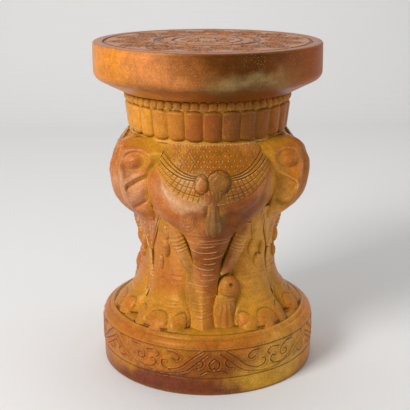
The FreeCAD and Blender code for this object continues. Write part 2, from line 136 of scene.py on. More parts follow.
def distance_to(u, v, curve):
    """Distance from every point (u, v) to the nearest sample of a curve, an array of points."""
    shape = np.broadcast(u, v).shape
    points = np.stack(np.broadcast_arrays(u, v), -1).reshape(-1, 2)
    best = np.full(len(points), np.inf)
    block = 40
    for start in range(0, len(curve), block):
        part = curve[start:start + block]
        gap = points[:, None, :] - part[None]
        best = np.minimum(best, np.einsum("ijk,ijk->ij", gap, gap).min(1))
    return np.sqrt(best).reshape(shape)


def turned_points(points, degrees):
    """Points turned about the stool's axis."""
    a = math.radians(degrees)
    spin = np.array([[math.cos(a), math.sin(a), 0], [-math.sin(a), math.cos(a), 0], [0, 0, 1]])
    return points @ spin


def mirrored(made):
    """A made part, mirrored in the centre plane of its elephant."""
    (points, quads, fans), relief, groove = made
    return (points * np.array([-1, 1, 1]), quads, fans), relief, groove


# Closed skins from grids: each function returns vertices, squares and triangles

def grid_quads(rows, columns, wrap_rows=False, wrap_columns=False):
    """Corner numbers of the squares of a grid, whole array at once."""
    r = np.arange(rows if wrap_rows else rows - 1)
    c = np.arange(columns if wrap_columns else columns - 1)
    r, c = np.meshgrid(r, c, indexing="ij")
    r1 = (r + 1) % rows
    c1 = (c + 1) % columns
    here, after = r * columns, r1 * columns
    return np.stack([here + c, here + c1, after + c1, after + c], -1).reshape(-1, 4)


def tube(grid):
    """Closed skin over rows of rings, each end closed by a fan to its middle."""
    rows, columns = grid.shape[:2]
    quads = grid_quads(rows, columns, wrap_columns=True)
    ends = np.stack([grid[0].mean(0), grid[-1].mean(0)])
    points = np.concatenate([grid.reshape(-1, 3), ends])
    c = np.arange(columns)
    c1 = (c + 1) % columns
    first = np.stack([c1, c, np.full(columns, rows * columns)], -1)
    last = np.stack([c, c1, np.full(columns, rows * columns + 1)], -1)
    last[:, :2] += (rows - 1) * columns
    return points, quads, np.concatenate([first, last])


def ring(grid):
    """Closed skin over rings that meet again after the last row."""
    rows, columns = grid.shape[:2]
    return grid.reshape(-1, 3), grid_quads(rows, columns, True, True), np.zeros((0, 3), int)


def plate(front, back):
    """Closed skin of two grids of equal size, joined round their borders."""
    rows, columns = front.shape[:2]
    size = rows * columns
    points = np.concatenate([front.reshape(-1, 3), back.reshape(-1, 3)])
    quads = grid_quads(rows, columns)
    index = np.arange(size).reshape(rows, columns)
    border = np.concatenate([index[0, :-1], index[:-1, -1], index[-1, :0:-1], index[:0:-1, 0]])
    after = np.roll(border, -1)
    rim = np.stack([after, border, border + size, after + size], -1)
    return points, np.concatenate([quads, quads[:, ::-1] + size, rim]), np.zeros((0, 3), int)


def joined(*skins):
    """Several closed skins as one piece."""
    points, quads, fans, start = [], [], [], 0
    for p, q, f in skins:
        points.append(p)
        quads.append(q + start)
        fans.append(f + start)
        start += len(p)
    return np.concatenate(points), np.concatenate(quads), np.concatenate(fans)


def triangles(quads, fans):
    """Corner numbers of all faces, each square as two triangles."""
    return np.concatenate([quads[:, :3], quads[:, [0, 2, 3]], fans])


def outward_faces(points, quads, fans):
    """Faces turned round if the skin's volume comes out negative."""
    a, b, c = points[triangles(quads, fans).T]
    if np.einsum("ij,ij->", a, np.cross(b, c)) < 0:
        return quads[:, ::-1], fans[:, ::-1]
    return quads, fans


CLOSEST = 0.25
SHARPEST = 0.8
CURVATURE_SHADING_GAIN = 2.4


def curvature_shading_of(points, quads, fans):
    """How far each vertex stands out of its neighbourhood: over 0.5 on ridges, under it in creases.

    The mean over the neighbours of their height above the vertex's tangent plane, divided by the
    square of their distance, is half the curvature there; three rounds of averaging spread it."""
    # Curvature for the clay's painted light: highlights on ridges, shade in creases
    count = len(points)
    faces = triangles(quads, fans)
    a, b, c = points[faces.T]
    cross = np.cross(b - a, c - a)
    normal = np.stack([sum(np.bincount(corner, part, count) for corner in faces.T) for part in cross.T], -1)
    normal /= np.maximum(np.linalg.norm(normal, axis=1, keepdims=True), 1e-9)
    edges = np.concatenate([np.stack([f, np.roll(f, -1, 1)], -1).reshape(-1, 2) for f in (quads, fans)])
    start, end = np.concatenate([edges, edges[:, ::-1]]).T
    way = points[end] - points[start]
    size = np.maximum((way * way).sum(1), CLOSEST)
    bend = (way * normal[start]).sum(1) / size
    near = np.maximum(np.bincount(start, minlength=count), 1)
    curve = np.bincount(start, np.clip(bend, -SHARPEST, SHARPEST), count) / near
    for _ in range(3):
        curve = 0.4 * curve + 0.6 * np.bincount(start, curve[end], count) / near
    return np.clip(0.5 - CURVATURE_SHADING_GAIN * curve, 0, 1)


def on_vertices(values, count, blank):
    """One value a vertex: one number for all, or a grid's values with a blank for the points after it."""
    full = np.full(count, float(blank))
    flat = np.ravel(values)
    full[:count if flat.size == 1 else flat.size] = flat
    return full


SHARP_ANGLE = math.radians(40)


def piece(node, skin, material, relief, groove=0):
    """Object from a closed skin, riding on the stool and standing for a CAD node.

    relief and groove are one value a vertex: how high a point stands in the
    modelling, and how dark a line drawn on it is: incised lines, the cords' edges, and at the
    feet a painted shade line where they stand on the ground. The clay's colour reads them, with
    the curvature worked out from the skin itself: high relief and convex places get a painted
    highlight, creases a painted shade."""
    points, quads, fans = skin
    quads, fans = outward_faces(points, quads, fans)
    mesh = bpy.data.meshes.new(node + "_clay")
    mesh.vertices.add(len(points))
    mesh.vertices.foreach_set("co", (points * MM).astype(np.float32).ravel())
    corners = np.concatenate([quads.ravel(), fans.ravel()])
    sizes = np.concatenate([np.full(len(quads), 4), np.full(len(fans), 3)])
    mesh.loops.add(len(corners))
    mesh.loops.foreach_set("vertex_index", corners.astype(np.int32))
    mesh.polygons.add(len(sizes))
    starts = np.concatenate([[0], np.cumsum(sizes)[:-1]])
    mesh.polygons.foreach_set("loop_start", starts.astype(np.int32))
    mesh.update(calc_edges=True)
    mesh.polygons.foreach_set("use_smooth", np.ones(len(sizes), bool))
    mesh.set_sharp_from_angle(angle=SHARP_ANGLE)
    curvature_shading = curvature_shading_of(points, quads, fans)
    for label, values, blank in (("relief", relief, 0.5), ("groove", groove, 0), ("curvature_shading", curvature_shading, 0)):
        layer = mesh.attributes.new(label, "FLOAT", "POINT")
        layer.data.foreach_set("value", on_vertices(values, len(points), blank).astype(np.float32))
    thing = bpy.data.objects.new(node + "_clay", mesh)
    bpy.context.scene.collection.objects.link(thing)
    mesh.materials.append(material)
    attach(thing, "root")
    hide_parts(node)


# Materials

def linear(code):
    """Linear colour of an sRGB hex code."""
    value = np.array([int(code[i:i + 2], 16) for i in (1, 3, 5)]) / 255
    value = np.where(value <= 0.04045, value / 12.92, ((value + 0.055) / 1.055) ** 2.4)
    return (*value, 1)


def add(tree, kind, links=(), **settings):
    """Add a node with its settings, and set or link its inputs by name or number."""
    item = tree.nodes.new(kind)
    for key, value in settings.items():
        setattr(item, key, value)
    for key, value in dict(links).items():
        if isinstance(value, bpy.types.NodeSocket):
            tree.links.new(value, item.inputs[key])
        else:
            item.inputs[key].default_value = value
    return item


def per_metre(size_mm):
    """Texture scale at which one repeat measures a size in millimetres."""
    return 1 / (size_mm * MM)


def tinted(tree, colour, value, start, end, strength, code):
    """Colour with another laid over it: none where a value is at its start, full strength at its end."""
    share = add(tree, "ShaderNodeMapRange", {0: value, 1: start, 2: end, 4: strength},
                interpolation_type="SMOOTHSTEP").outputs[0]
    return add(tree, "ShaderNodeMix", {0: share, 6: colour, 7: linear(code)}, data_type="RGBA").outputs[2]


def colour_patch_distance(tree, where, centre, reach):
    """How far out of a patch of colour (a kiln flash, a painted light, a painted shade) a place lies: 0 at
    its centre and 1 at its reach, both in millimetres.
    """
    for size, work in ((centre, "SUBTRACT"), (reach, "DIVIDE")):
        where = add(tree, "ShaderNodeVectorMath", {0: where, 1: tuple(s * MM for s in size)},
                    operation=work).outputs[0]
    return add(tree, "ShaderNodeVectorMath", {0: where}, operation="LENGTH").outputs["Value"]


def fired_clay(name, recess, middle, high, crest_and_highlight, flashes_and_painted_light, streaks=0, ash_and_shade="#cf9632"):
    """Wood-fired terracotta: unglazed clay with a thin ash and salt skin.

    Ash settles ochre in the hollows and the high places fire redder, so the eye sees ochre
    recesses and rosy ridges. Over this lie broad soft flashes, some of them painted light and
    shade; painted highlights on the crests and convex places; painted shade in the creases and
    the tightest corners; a hollow colour that is ash, on some clays darkened as painted shade;
    dark lines in the cuts, and a satin, finely pitted skin with pale grit and dark specks.
    Streaks are the level lines that throwing leaves on a turned wall."""
    material = bpy.data.materials.new(name)
    material.use_nodes = True
    tree = material.node_tree
    tree.nodes.clear()
    place = add(tree, "ShaderNodeTexCoord").outputs["Object"]
    relief, groove, curvature_shading = [add(tree, "ShaderNodeAttribute", attribute_name=label).outputs["Fac"]
                            for label in ("relief", "groove", "curvature_shading")]
    cloud, mottle, grit, peel = [
        add(tree, "ShaderNodeTexNoise", {"Vector": place, "Scale": per_metre(size), "Detail": detail,
                                         "Roughness": rough}).outputs["Fac"]
        for size, detail, rough in ((70, 4, 0.55), (11, 5, 0.65), (2, 3, 0.7), (3, 4, 0.6))]
    # How high a point lies, broken up by the clouds so that no edge is sharp
    height = relief
    for pattern, share in ((cloud, 0.9), (mottle, 0.45)):
        height = add(tree, "ShaderNodeMath", {0: pattern, 1: share, 2: height},
                     operation="MULTIPLY_ADD").outputs[0]
    colour = tinted(tree, linear(recess), height, 0.62, 1.18, 1, middle)
    colour = tinted(tree, colour, height, 1.1, 1.62, 1, high)
    # Kiln flashes and patches of painted light and shade, their edges pushed about by up to 25 mm
    push = add(tree, "ShaderNodeTexNoise", {"Vector": place, "Scale": per_metre(45), "Detail": 3})
    push = add(tree, "ShaderNodeVectorMath", {0: push.outputs["Color"], 1: (0.5, 0.5, 0.5)},
               operation="SUBTRACT")
    pushed = add(tree, "ShaderNodeVectorMath", {0: push.outputs[0], 1: (50 * MM,) * 3, 2: place},
                 operation="MULTIPLY_ADD").outputs[0]
    for centre, reach, softness, strength, code in flashes_and_painted_light:
        out = colour_patch_distance(tree, pushed, centre, reach)
        colour = tinted(tree, colour, out, 1 + softness, 1 - softness, strength, code)
    # Painted highlights on high relief and convex places, painted shade in creases, the hollow colour, and
    # painted shade in the tightest corners
    corner = add(tree, "ShaderNodeAmbientOcclusion", {"Distance": 14 * MM}, samples=8).outputs["AO"]
    for value, start, end, strength, code in (
            # Painted highlights: pale colour on high relief (crests) and on convex places
            (relief, 1.15, 1.75, 0.8, crest_and_highlight), (curvature_shading, 0.58, 0.92, 0.6, crest_and_highlight),
            # Painted shade in creases, then the hollow colour from ambient occlusion
            (curvature_shading, 0.40, 0.10, 0.65, "#5e3a12"), (corner, 0.85, 0.45, 0.75, ash_and_shade),
            # Painted shade: the tightest corners, found by ambient occlusion, turn dark brown
            (corner, 0.34, 0.10, 0.6, "#4c2c0e")):
        colour = tinted(tree, colour, value, start, end, strength, code)
    # Fine variation: a little lighter and darker by the mottle, the grit and the throwing lines
    throwing = (per_metre(400), per_metre(400), per_metre(5))
    flat = add(tree, "ShaderNodeVectorMath", {0: place, 1: throwing}, operation="MULTIPLY")
    lines = add(tree, "ShaderNodeTexNoise", {"Vector": flat.outputs[0], "Scale": 1, "Detail": 3})
    for pattern, dark, light in ((mottle, 0.78, 1.2), (grit, 0.74, 1.22),
                                 (lines.outputs["Fac"], 1 - streaks, 1 + streaks)):
        shade = add(tree, "ShaderNodeMapRange", {0: pattern, 1: 0.3, 2: 0.7, 3: dark, 4: light}).outputs[0]
        colour = add(tree, "ShaderNodeVectorMath", {0: colour, 3: shade}, operation="SCALE").outputs[0]
    # Dark specks and pale grains of salt, each in patches of its own
    for size, edge, core, pattern, start, end, strength, code in (
            (3.4, 0.18, 0.07, mottle, 0.46, 0.60, 1, "#4a2a12"),
            (2.3, 0.24, 0.10, cloud, 0.44, 0.60, 0.45, "#e6b566")):
        cells = add(tree, "ShaderNodeTexVoronoi", {"Vector": place, "Scale": per_metre(size)})
        patch = add(tree, "ShaderNodeMapRange", {0: pattern, 1: start, 2: end, 4: strength},
                    interpolation_type="SMOOTHSTEP")
        colour = tinted(tree, colour, cells.outputs["Distance"], edge, core, patch.outputs[0], code)
    cut = add(tree, "ShaderNodeMath", {0: groove, 1: 0.82}, operation="MULTIPLY").outputs[0]
    colour = add(tree, "ShaderNodeMix", {0: cut, 6: colour, 7: linear("#3d220d")},
                 data_type="RGBA").outputs[2]
    # Satin skin with orange-peel and grit
    gloss = add(tree, "ShaderNodeMapRange", {0: mottle, 1: 0.3, 2: 0.7, 3: 0.27, 4: 0.42}).outputs[0]
    rough = add(tree, "ShaderNodeBump", {"Strength": 0.30, "Distance": 0.6 * MM, "Height": peel})
    fine = add(tree, "ShaderNodeBump", {"Strength": 0.22, "Distance": 0.3 * MM, "Height": grit,
                                        "Normal": rough.outputs[0]})
    skin = add(tree, "ShaderNodeBsdfPrincipled", {
        "Base Color": colour, "Roughness": gloss, "Normal": fine.outputs[0], "IOR": 1.45,
        "Specular IOR Level": 0.30, "Specular Tint": linear("#ffcf8e")})
    add(tree, "ShaderNodeOutputMaterial", {"Surface": skin.outputs[0]})
    return material


# Each patch of a clay, a kiln flash unless marked as painted light or shade: its centre, its reach, how
# soft its edge is, its strength and its colour

SEAT_CLAY = fired_clay("wood_fired_terracotta_seat", "#a8621c", "#a45618", "#9c531c", "#8f5636", (
    ((-150, -70, 432), (110, 120, 70), 0.5, 0.95, "#d6842a"),
    ((-72, -138, 424), (44, 45, 50), 0.6, 0.8, "#cc8048"),
    ((46, -150, 446), (92, 80, 36), 0.6, 0.93, "#4e2a0c"),
    ((56, -150, 408), (62, 60, 12), 0.9, 0.85, "#948658"),
    # Painted shade: two dark bands on the seat's bevel, which faces down, away from the light
    ((58, -120, 394), (76, 60, 13), 0.5, 0.75, "#5c2e08"),
    ((-56, -130, 406), (96, 70, 10), 0.9, 0.6, "#64320f"),
    ((150, -40, 425), (80, 110, 70), 0.6, 0.95, "#a04c0a"),
), 0.07)
# Painted shade: its hollow colour is dark, so the carving of the seat top reads darker
SLAB_CLAY = fired_clay("wood_fired_terracotta_seat_top", "#6f3a1c", "#94572f", "#a4683e", "#b57c52", (),
                       0, "#3c2010")
# Its hollow colour is a darker ash: partly ash, partly painted shade between flutes and beads
COLLAR_CLAY = fired_clay("wood_fired_terracotta_collar", "#d8a03a", "#b86c2a", "#944c20", "#e0b070", (
    ((-110, -35, 355), (78, 85, 60), 0.6, 0.75, "#e29c34"),
    ((48, -110, 352), (44, 40, 34), 0.6, 0.5, "#5e4420"),
    ((115, -20, 350), (70, 90, 60), 0.6, 0.4, "#c07424"),
), 0, "#a66e22")
BODY_CLAY = fired_clay("wood_fired_terracotta_core", "#bd8838", "#c08a3c", "#b3722e", "#dca860", ())
FIGURE_CLAY = fired_clay("wood_fired_terracotta_figures", "#c08426", "#b4662a", "#b07046", "#ecc48a", (
    ((140, -20, 240), (85, 120, 130), 0.6, 0.35, "#c47c24"),
    ((-5, -130, 222), (62, 44, 40), 0.5, 0.5, "#96502e"),
    # Partly darker clay, partly painted shade: the trunk's upper front, turned away from the key lamp
    ((-2, -120, 186), (30, 40, 38), 0.5, 0.75, "#743a16"),
    # Partly darker clay, partly painted shade: the right side of the face
    ((26, -128, 248), (52, 50, 36), 0.6, 0.85, "#783e1c"),
    ((72, -78, 172), (36, 60, 62), 0.6, 0.65, "#dfa338"),
    ((-26, -112, 212), (16, 40, 34), 0.6, 0.5, "#cf8446"),
    ((6, -125, 312), (64, 40, 26), 0.5, 0.8, "#8c5008"),
    # Painted highlight: two pale patches along the brow roll
    ((-36, -124, 257), (20, 24, 8), 0.9, 0.4, "#eebf8c"),
    ((-54, -116, 268), (18, 24, 8), 0.9, 0.4, "#eebf8c"),
    ((-28, -108, 112), (18, 26, 38), 0.5, 0.35, "#d69a3c"),
    ((8, -140, 278), (20, 22, 20), 0.5, 0.65, "#7e5a2a"),
    # Painted highlight: a pale patch on the left of the gridded band
    ((-28, -124, 291), (16, 20, 10), 0.6, 0.45, "#d8a878"),
    ((-1, -142, 236), (12, 14, 26), 0.5, 0.7, "#7c5c30"),
    ((20, -100, 105), (20, 22, 40), 0.5, 0.5, "#a2722c"),
    ((-40, -86, 190), (20, 30, 40), 0.5, 0.3, "#d09a40"),
    # Painted shade: the dark valley between the left leg and the trunk
    ((-31, -84, 138), (8, 24, 42), 0.6, 0.6, "#7a5418"),
    # Partly paler clay, partly painted light: the lower lobe of the left ear, as if lit
    ((-106, -84, 268), (24, 40, 28), 0.6, 0.45, "#dba27c"),
    ((112, -75, 288), (24, 40, 36), 0.6, 0.4, "#a05a1c"),
    ((87, -92, 262), (14, 40, 44), 0.5, 0.5, "#dca448"),
))
# Its hollow colour is brown: partly ash, partly painted shade in the carving and along the floor
PLINTH_CLAY = fired_clay("wood_fired_terracotta_plinth", "#b47c24", "#ae6422", "#b0682e", "#dca85c", (
    ((-46, -146, 2), (101, 300, 28), 0.3, 0.94, "#6a3026"),
    ((0, -152, 42), (50, 40, 26), 0.6, 0.7, "#743616"),
    ((94, -138, 14), (64, 60, 28), 0.4, 0.85, "#cf9c34"),
    ((98, -112, 46), (56, 60, 30), 0.6, 0.75, "#d6a044"),
    # Painted light: the plinth's right side brightened as if lit from the right
    ((150, -20, 45), (46, 90, 50), 0.6, 0.6, "#dc8a2c"),
), 0.05, "#8a5420")


# Turned forms

ARC_STEPS = 7


def round_trip(corners, spacing):
    """Points round a closed outline of (radius, height, round) corners: lines and true arcs.

    Each corner is cut back to where its arc touches the two lines, the arc is swept at an
    even angle, and the lines are divided evenly by the spacing."""
    corners = [np.array(c, float) for c in corners]
    out = []
    count = len(corners)
    ends = []
    for i in range(count):
        here, before, after = corners[i], corners[i - 1], corners[(i + 1) % count]
        back = (before[:2] - here[:2]) / np.linalg.norm(before[:2] - here[:2])
        ahead = (after[:2] - here[:2]) / np.linalg.norm(after[:2] - here[:2])
        half = math.acos(np.clip(back @ ahead, -1, 1)) / 2
        trim = here[2] / math.tan(half)
        centre = here[:2] + (back + ahead) / np.linalg.norm(back + ahead) * here[2] / math.sin(half)
        start, end = here[:2] + back * trim, here[:2] + ahead * trim
        steps = ARC_STEPS if here[2] > 0 else 1
        share = np.linspace(0, 1, steps)[:, None]
        swing = start * (1 - share) + end * share - centre
        size = np.linalg.norm(swing, axis=1, keepdims=True)
        arc = centre + swing / np.maximum(size, 1e-9) * here[2]
        ends.append(arc if here[2] > 0 else here[None, :2])
    for i in range(count):
        out.append(ends[i])
        a, b = ends[i][-1], ends[(i + 1) % count][0]
        steps = max(int(np.linalg.norm(b - a) / spacing), 1)
        share = np.linspace(0, 1, steps + 1)[1:-1, None]
        out.append(a * (1 - share) + b * share)
    return np.concatenate(out)


def turned(outline, angles):
    """Rings of an outline about the axis: row by outline point, column by angle."""
    return polar(outline[:, :1], angles[None, :], outline[:, 1:])


SEAT_BORE = 97
SEAT_BEVEL = 19.5
SEAT_WALL = 12
SLAB_THICK = 12


def seat_drum():
    """Seat ring: a turned outline, with a faint handmade wobble along its normals."""
    ledge = SLAB_R - 9
    low = SEAT_TOP - SLAB_THICK
    outline = round_trip((
        (SEAT_BORE, SEAT_BASE, 0), (117, SEAT_BASE, 1.5), (SEAT_R, SEAT_BASE + SEAT_BEVEL, 12),
        (SEAT_R, SEAT_TOP, 3), (SLAB_R + 1, SEAT_TOP, 1), (SLAB_R + 1, low, 0), (ledge, low, 0),
        (ledge, low - SEAT_WALL, 0), (SEAT_BORE, SEAT_BASE + SEAT_WALL, 0)), 3)
    angles = np.arange(0, 360, 1)
    grid = turned(outline, angles)
    lean = np.radians(angles)[None, :]
    dent = 0.35 * np.sin(3 * lean + 1) + 0.25 * np.sin(7 * lean + outline[:, 1:] * 0.05)
    outside = ease(118, 140, outline[:, :1]) * ease(SEAT_TOP - 1, SEAT_TOP - 8, outline[:, 1:])
    grid += normals_of(grid) * (dent * outside)[..., None] * -1
    face = ease(SEAT_TOP - 1.2, SEAT_TOP - 0.4, outline[:, 1:])
    relief = np.broadcast_to(0.35 + 0.3 * ease(118, 150, outline[:, :1]) + 1.4 * face, grid.shape[:2])
    piece("seat_drum", ring(grid), SEAT_CLAY, relief)


def spiral(centre, radius, turns, start, hand):
    """Points of a flat spiral that winds in to its centre."""
    t = np.linspace(0, 1, 60)
    r = radius * (1 - 0.85 * t)
    a = start + hand * TURN * turns * t
    return np.stack([centre[0] + r * np.cos(a), centre[1] + r * np.sin(a)], -1)


def stroke(*points):
    """Samples of a smooth line through points of the flat pattern."""
    count = len(points)
    at, knots = np.linspace(0, 1, 24 * count), np.linspace(0, 1, count)
    return path_through(at, knots, *np.array(points, float).T)


def scroll_lines():
    """Strokes of one repeat of the running scroll, in millimetres from its mirror line and its low line."""
    right = np.concatenate([
        stroke((16, 36), (30, 26), (45, 13), (60, 8), (70, 12), (71, 19), (66, 20)),
        stroke((8, 33), (22, 21), (38, 8), (56, 3), (80, 2), (112, 8), (138, 20), (157, 31)),
        stroke((146, 36), (132, 27), (116, 14), (98, 7), (86, 8), (80, 14), (83, 20), (88, 18)),
        stroke((157, 24), (140, 14), (126, 6)),
        stroke((94, 30), (82, 32), (75, 27), (79, 22)),
        stroke((120, 34), (108, 33), (98, 26), (99, 17), (107, 16), (109, 22), (104, 23)),
        stroke((62, 34), (52, 33), (46, 27), (50, 22), (56, 25)),
        stroke((0, 27), (7, 19), (3, 11), (0, 14)),
        stroke((0, 7), (10, 9), (18, 4)),
        stroke((24, 12), (17, 15), (15, 22), (20, 23)),
        stroke((134, 10), (143, 7), (150, 12), (146, 17), (141, 14)),
    ])
    return np.concatenate([right, right * np.array([-1, 1])])


SCROLL_REPEATS = 3
SCROLL_LOW = 27
FRAME_LINES = (25, 64.6)
CARVED_FROM = 8
PLINTH_WALL = 12


def plinth_drum():
    """Ring foot: a turned outline with a carved band, cut along the nearest line of the scroll."""
    inner = PLINTH_R - PLINTH_WALL
    outline = round_trip(((inner, FLOOR, 0), (PLINTH_R, FLOOR, 2.5), (PLINTH_R, PLINTH_TOP, 0),
                          (inner, PLINTH_TOP, 0)), 1.1)
    plain = (outline[:, 0] < inner + 0.01) & (outline[:, 1] > FLOOR) & (outline[:, 1] < PLINTH_TOP)
    outline = outline[~plain]
    angles = np.arange(0, 360, 0.36)
    grid = turned(outline, angles)
    period = TURN * PLINTH_R / SCROLL_REPEATS
    along = (angles / 360 * SCROLL_REPEATS + 0.5) % 1 * period - period / 2
    wall = (outline[:, 0] > PLINTH_R - 0.01) & (outline[:, 1] > CARVED_FROM)
    height = outline[:, 1:]
    gap = np.full(grid.shape[:2], np.inf)
    gap[wall] = distance_to(along[None, :], height[wall] - SCROLL_LOW, scroll_lines())
    edge = np.minimum.reduce([np.abs(height - at) for at in FRAME_LINES])
    edge = np.where(wall[:, None], edge, np.inf)
    line = ease(1.4, 0.1, gap)
    beside = ease(0.9, 0.1, np.abs(gap - 3.3))
    frame_line = ease(1.3, 0.2, edge)
    swell = ease(6, 1.5, gap) * ease(SCROLL_LOW, SCROLL_LOW + 3, height)
    lean = np.radians(angles)[None, :]
    dent = 0.4 * np.sin(4 * lean + 2) + 0.25 * np.sin(9 * lean + height * 0.07)
    lift = 1.2 * swell - 1.7 * line - 0.6 * beside - 0.9 * frame_line + dent * ease(2, 9, height)
    lift = np.where((outline[:, :1] > PLINTH_R - 3) & (height < PLINTH_TOP - 0.5), lift, 0)
    grid += polar(1, angles, 0)[None] * lift[..., None]
    groove = np.clip(0.5 * line + 0.15 * beside + 0.8 * frame_line, 0, 1)
    piece("plinth_drum", ring(grid), PLINTH_CLAY, 0.25 + 0.4 * swell, groove)


GROUND_OUTLINE = ((149.8, 1), (148.7, 4), (146.4, 7), (143.8, 8.9), (142, 9.4), (141.2, 9.5),
                  (140.2, 10.9), (138.4, 12.8), (136.2, 13.7), (134.4, 13.3), (132.6, 12.6),
                  (130, 12.8), (127, 13.6), (123, 14))


GROUND_HOLE = 76
TROUGH_R = 132.3


def plinth_top():
    """Ground plate: a turned outline with a rolled border, a shallow trough behind it and a flat middle."""
    knots = np.linspace(0, 1, len(GROUND_OUTLINE))
    border = path_through(np.linspace(0, 1, 60), knots, *np.array(GROUND_OUTLINE).T)
    border[:, 1] += PLINTH_TOP
    inner = np.array([[115, GROUND], [100, GROUND], [GROUND_HOLE, GROUND],
                      [GROUND_HOLE, PLINTH_TOP], [110, PLINTH_TOP], [PLINTH_R, PLINTH_TOP]])
    outline = np.concatenate([border, inner])
    angles = np.arange(0, 360, 0.8)
    trough = bump(outline[:, :1] - TROUGH_R, 4) + 0 * angles
    relief = 0.35 * ease(134, 142, outline[:, :1]) - 0.2 * trough
    piece("plinth_top", ring(turned(outline, angles)), PLINTH_CLAY, relief, 0.5 * trough)


FLUTES = 28
BEADS = 60
COLLAR_BORE = 95


def lobed_ring(node, low, high, rows, inner_rows, step, lobes, shape):
    """Ring with a row of lobes: a shape gives the radius and the values over each lobe.

    The shape is asked at places across a lobe, from -1 to 1, and up it, from 0 to 1."""
    angles = np.arange(0, 360, step)
    z = np.concatenate([np.linspace(low, high, rows), np.linspace(high, low, inner_rows)])[:, None]
    across = (angles / 360 * lobes + 0.5) % 1 * 2 - 1
    radius, relief, groove = shape(across[None, :], (z - low) / (high - low))
    outside = (np.arange(len(z)) < rows)[:, None]
    grid = polar(np.where(outside, radius, COLLAR_BORE), angles, z)
    piece(node, ring(grid), COLLAR_CLAY, relief * outside, groove * outside)


def flute(across, up):
    """Radius, relief and groove of a flute: a rounded oblong above a thin ledge."""
    end = np.maximum(np.clip((0.25 - up) / 0.15, 0, 1), np.clip((up - 0.87) / 0.12, 0, 1))
    swell = np.clip(1 - np.abs(0.99 * across) ** 1.9 - end ** 2.4, 0, 1) ** 0.5
    base = 102.2 + 5.2 * up + 2.6 * bump(up - 0.03, 0.10)
    return base + 5.6 * swell, ease(0.10, 0.60, swell) - 0.1, 0.25 * bump(up - 0.105, 0.035) + 0 * swell


def bead(across, up):
    """Radius, relief and groove of a bead: a dome, with nothing cut."""
    dome = np.clip(1 - (0.96 * across) ** 2 - ((up - 0.46) / 0.46) ** 2, 0, 1) ** 0.5
    return 109.2 + 4.8 * dome, 0.85 * ease(0.3, 0.9, dome), 0 * dome


RING_LINES = (70.5, 64.5, 46.5)
BAND_SCROLLS = 14
CURL_ROWS = (0.667 * SLAB_R, 0.824 * SLAB_R)
CURL_R = 11.5
PETALS = 8
PETAL_RING = 27
PETAL_R = 8
ROSETTE_R = 44
CARVED_BAND = (73, 136.5)
SLAB_ROWS = 150


def seat_slab():
    """Disc with a carved top: ring lines, a band of running scrolls and a rosette of petals.

    The scroll is drawn flat, along the band and across it, and each point of the top is lowered
    by its distance from the nearest stroke."""
    r = np.concatenate([np.linspace(1, SLAB_R - 0.2, SLAB_ROWS), [SLAB_R, SLAB_R, 1]])
    top = np.arange(len(r)) < SLAB_ROWS
    z = np.where(top, SEAT_TOP, SEAT_TOP - SLAB_THICK)
    z[SLAB_ROWS] = SEAT_TOP - 1.2
    angles = np.arange(0, 360, 0.6)
    across = r[:, None]
    lean = np.radians(angles)[None, :]
    share = (angles / 360 * BAND_SCROLLS) % 1
    cut = np.zeros((len(r), len(angles)))
    fine = np.zeros_like(cut)
    leaves = np.concatenate([stroke((-21, -9), (-15, -1), (-14, 9), (-6, 15), (4, 15), (13, 10)),
                             stroke((-24, 3), (-18, 6), (-16, 13)), stroke((-3, 19), (2, 22), (8, 19))])
    leaves = np.concatenate([leaves, -leaves])
    for radius, middle, start in ((CURL_ROWS[0], 0.25, 1.6), (CURL_ROWS[1], 0.75, 4.7)):
        along = (((share - middle + 0.5) % 1 - 0.5) * TURN / BAND_SCROLLS)[None, :] * across
        out = across - radius
        gap = distance_to(along, out, spiral((0, 0), CURL_R, 2.2, start, 1))
        cut = np.maximum(cut, ease(2.2, 0.6, gap))
        ringed = np.abs(np.hypot(along, out) - CURL_R)
        cut = np.maximum(cut, ease(2, 0.6, ringed))
        fine = np.maximum(fine, ease(1.5, 0.3, distance_to(along, out, leaves)))
    inner, outer = CARVED_BAND
    band = ease(inner, inner + 1.5, across) * ease(outer, outer - 1.5, across) * top[:, None]
    cut = cut * band
    fine = fine * band
    rings = np.zeros_like(across)
    for radius in RING_LINES + (SLAB_R - 1,):
        rings = np.maximum(rings, ease(2.9, 1.3, np.abs(across - radius)))
    turn = TURN / PETALS
    petal_turn = (lean + turn / 2) % turn - turn / 2
    petal = np.hypot(across * np.cos(petal_turn) - PETAL_RING, across * np.sin(petal_turn))
    cut = np.maximum(cut, ease(1.9, 0.5, np.abs(petal - PETAL_R)) * (across < ROSETTE_R))
    fine = np.maximum(fine, ease(1.4, 0.4, np.abs(petal - PETAL_R / 2)) * (across < ROSETTE_R))
    fine = np.maximum(fine, ease(1.6, 0.4, np.abs(across - 15 - 2 * np.cos(PETALS * lean))))
    scallop = 50 + 11 * np.abs(np.sin(lean * 10))
    fine = np.maximum(fine, ease(1.5, 0.4, np.abs(across - scallop)) * (np.abs(across - 55.5) < 8))
    depth = 1.3 * np.maximum(cut, 0.75 * fine) + 1.7 * rings
    high = np.where(top[:, None], z[:, None] - depth, z[:, None] + 0 * lean)
    grid = polar(across, angles[None, :], high)
    groove = np.clip(0.85 * np.maximum(cut, fine) + rings, 0, 1) * top[:, None]
    relief = 0.85 - 0.6 * np.maximum(cut, fine)
    piece("seat_slab", tube(grid), SLAB_CLAY, relief, groove)


CORE_WALL = 10
CORE_KNOTS = (80, 110, 165, 200, 240, 285, 328)
CORE_RADII = (98, 91, 87, 90, 97, 105, 107)


def core_radius(z):
    """Outer radius of the body core at a height."""
    return through(z, CORE_KNOTS, CORE_RADII)


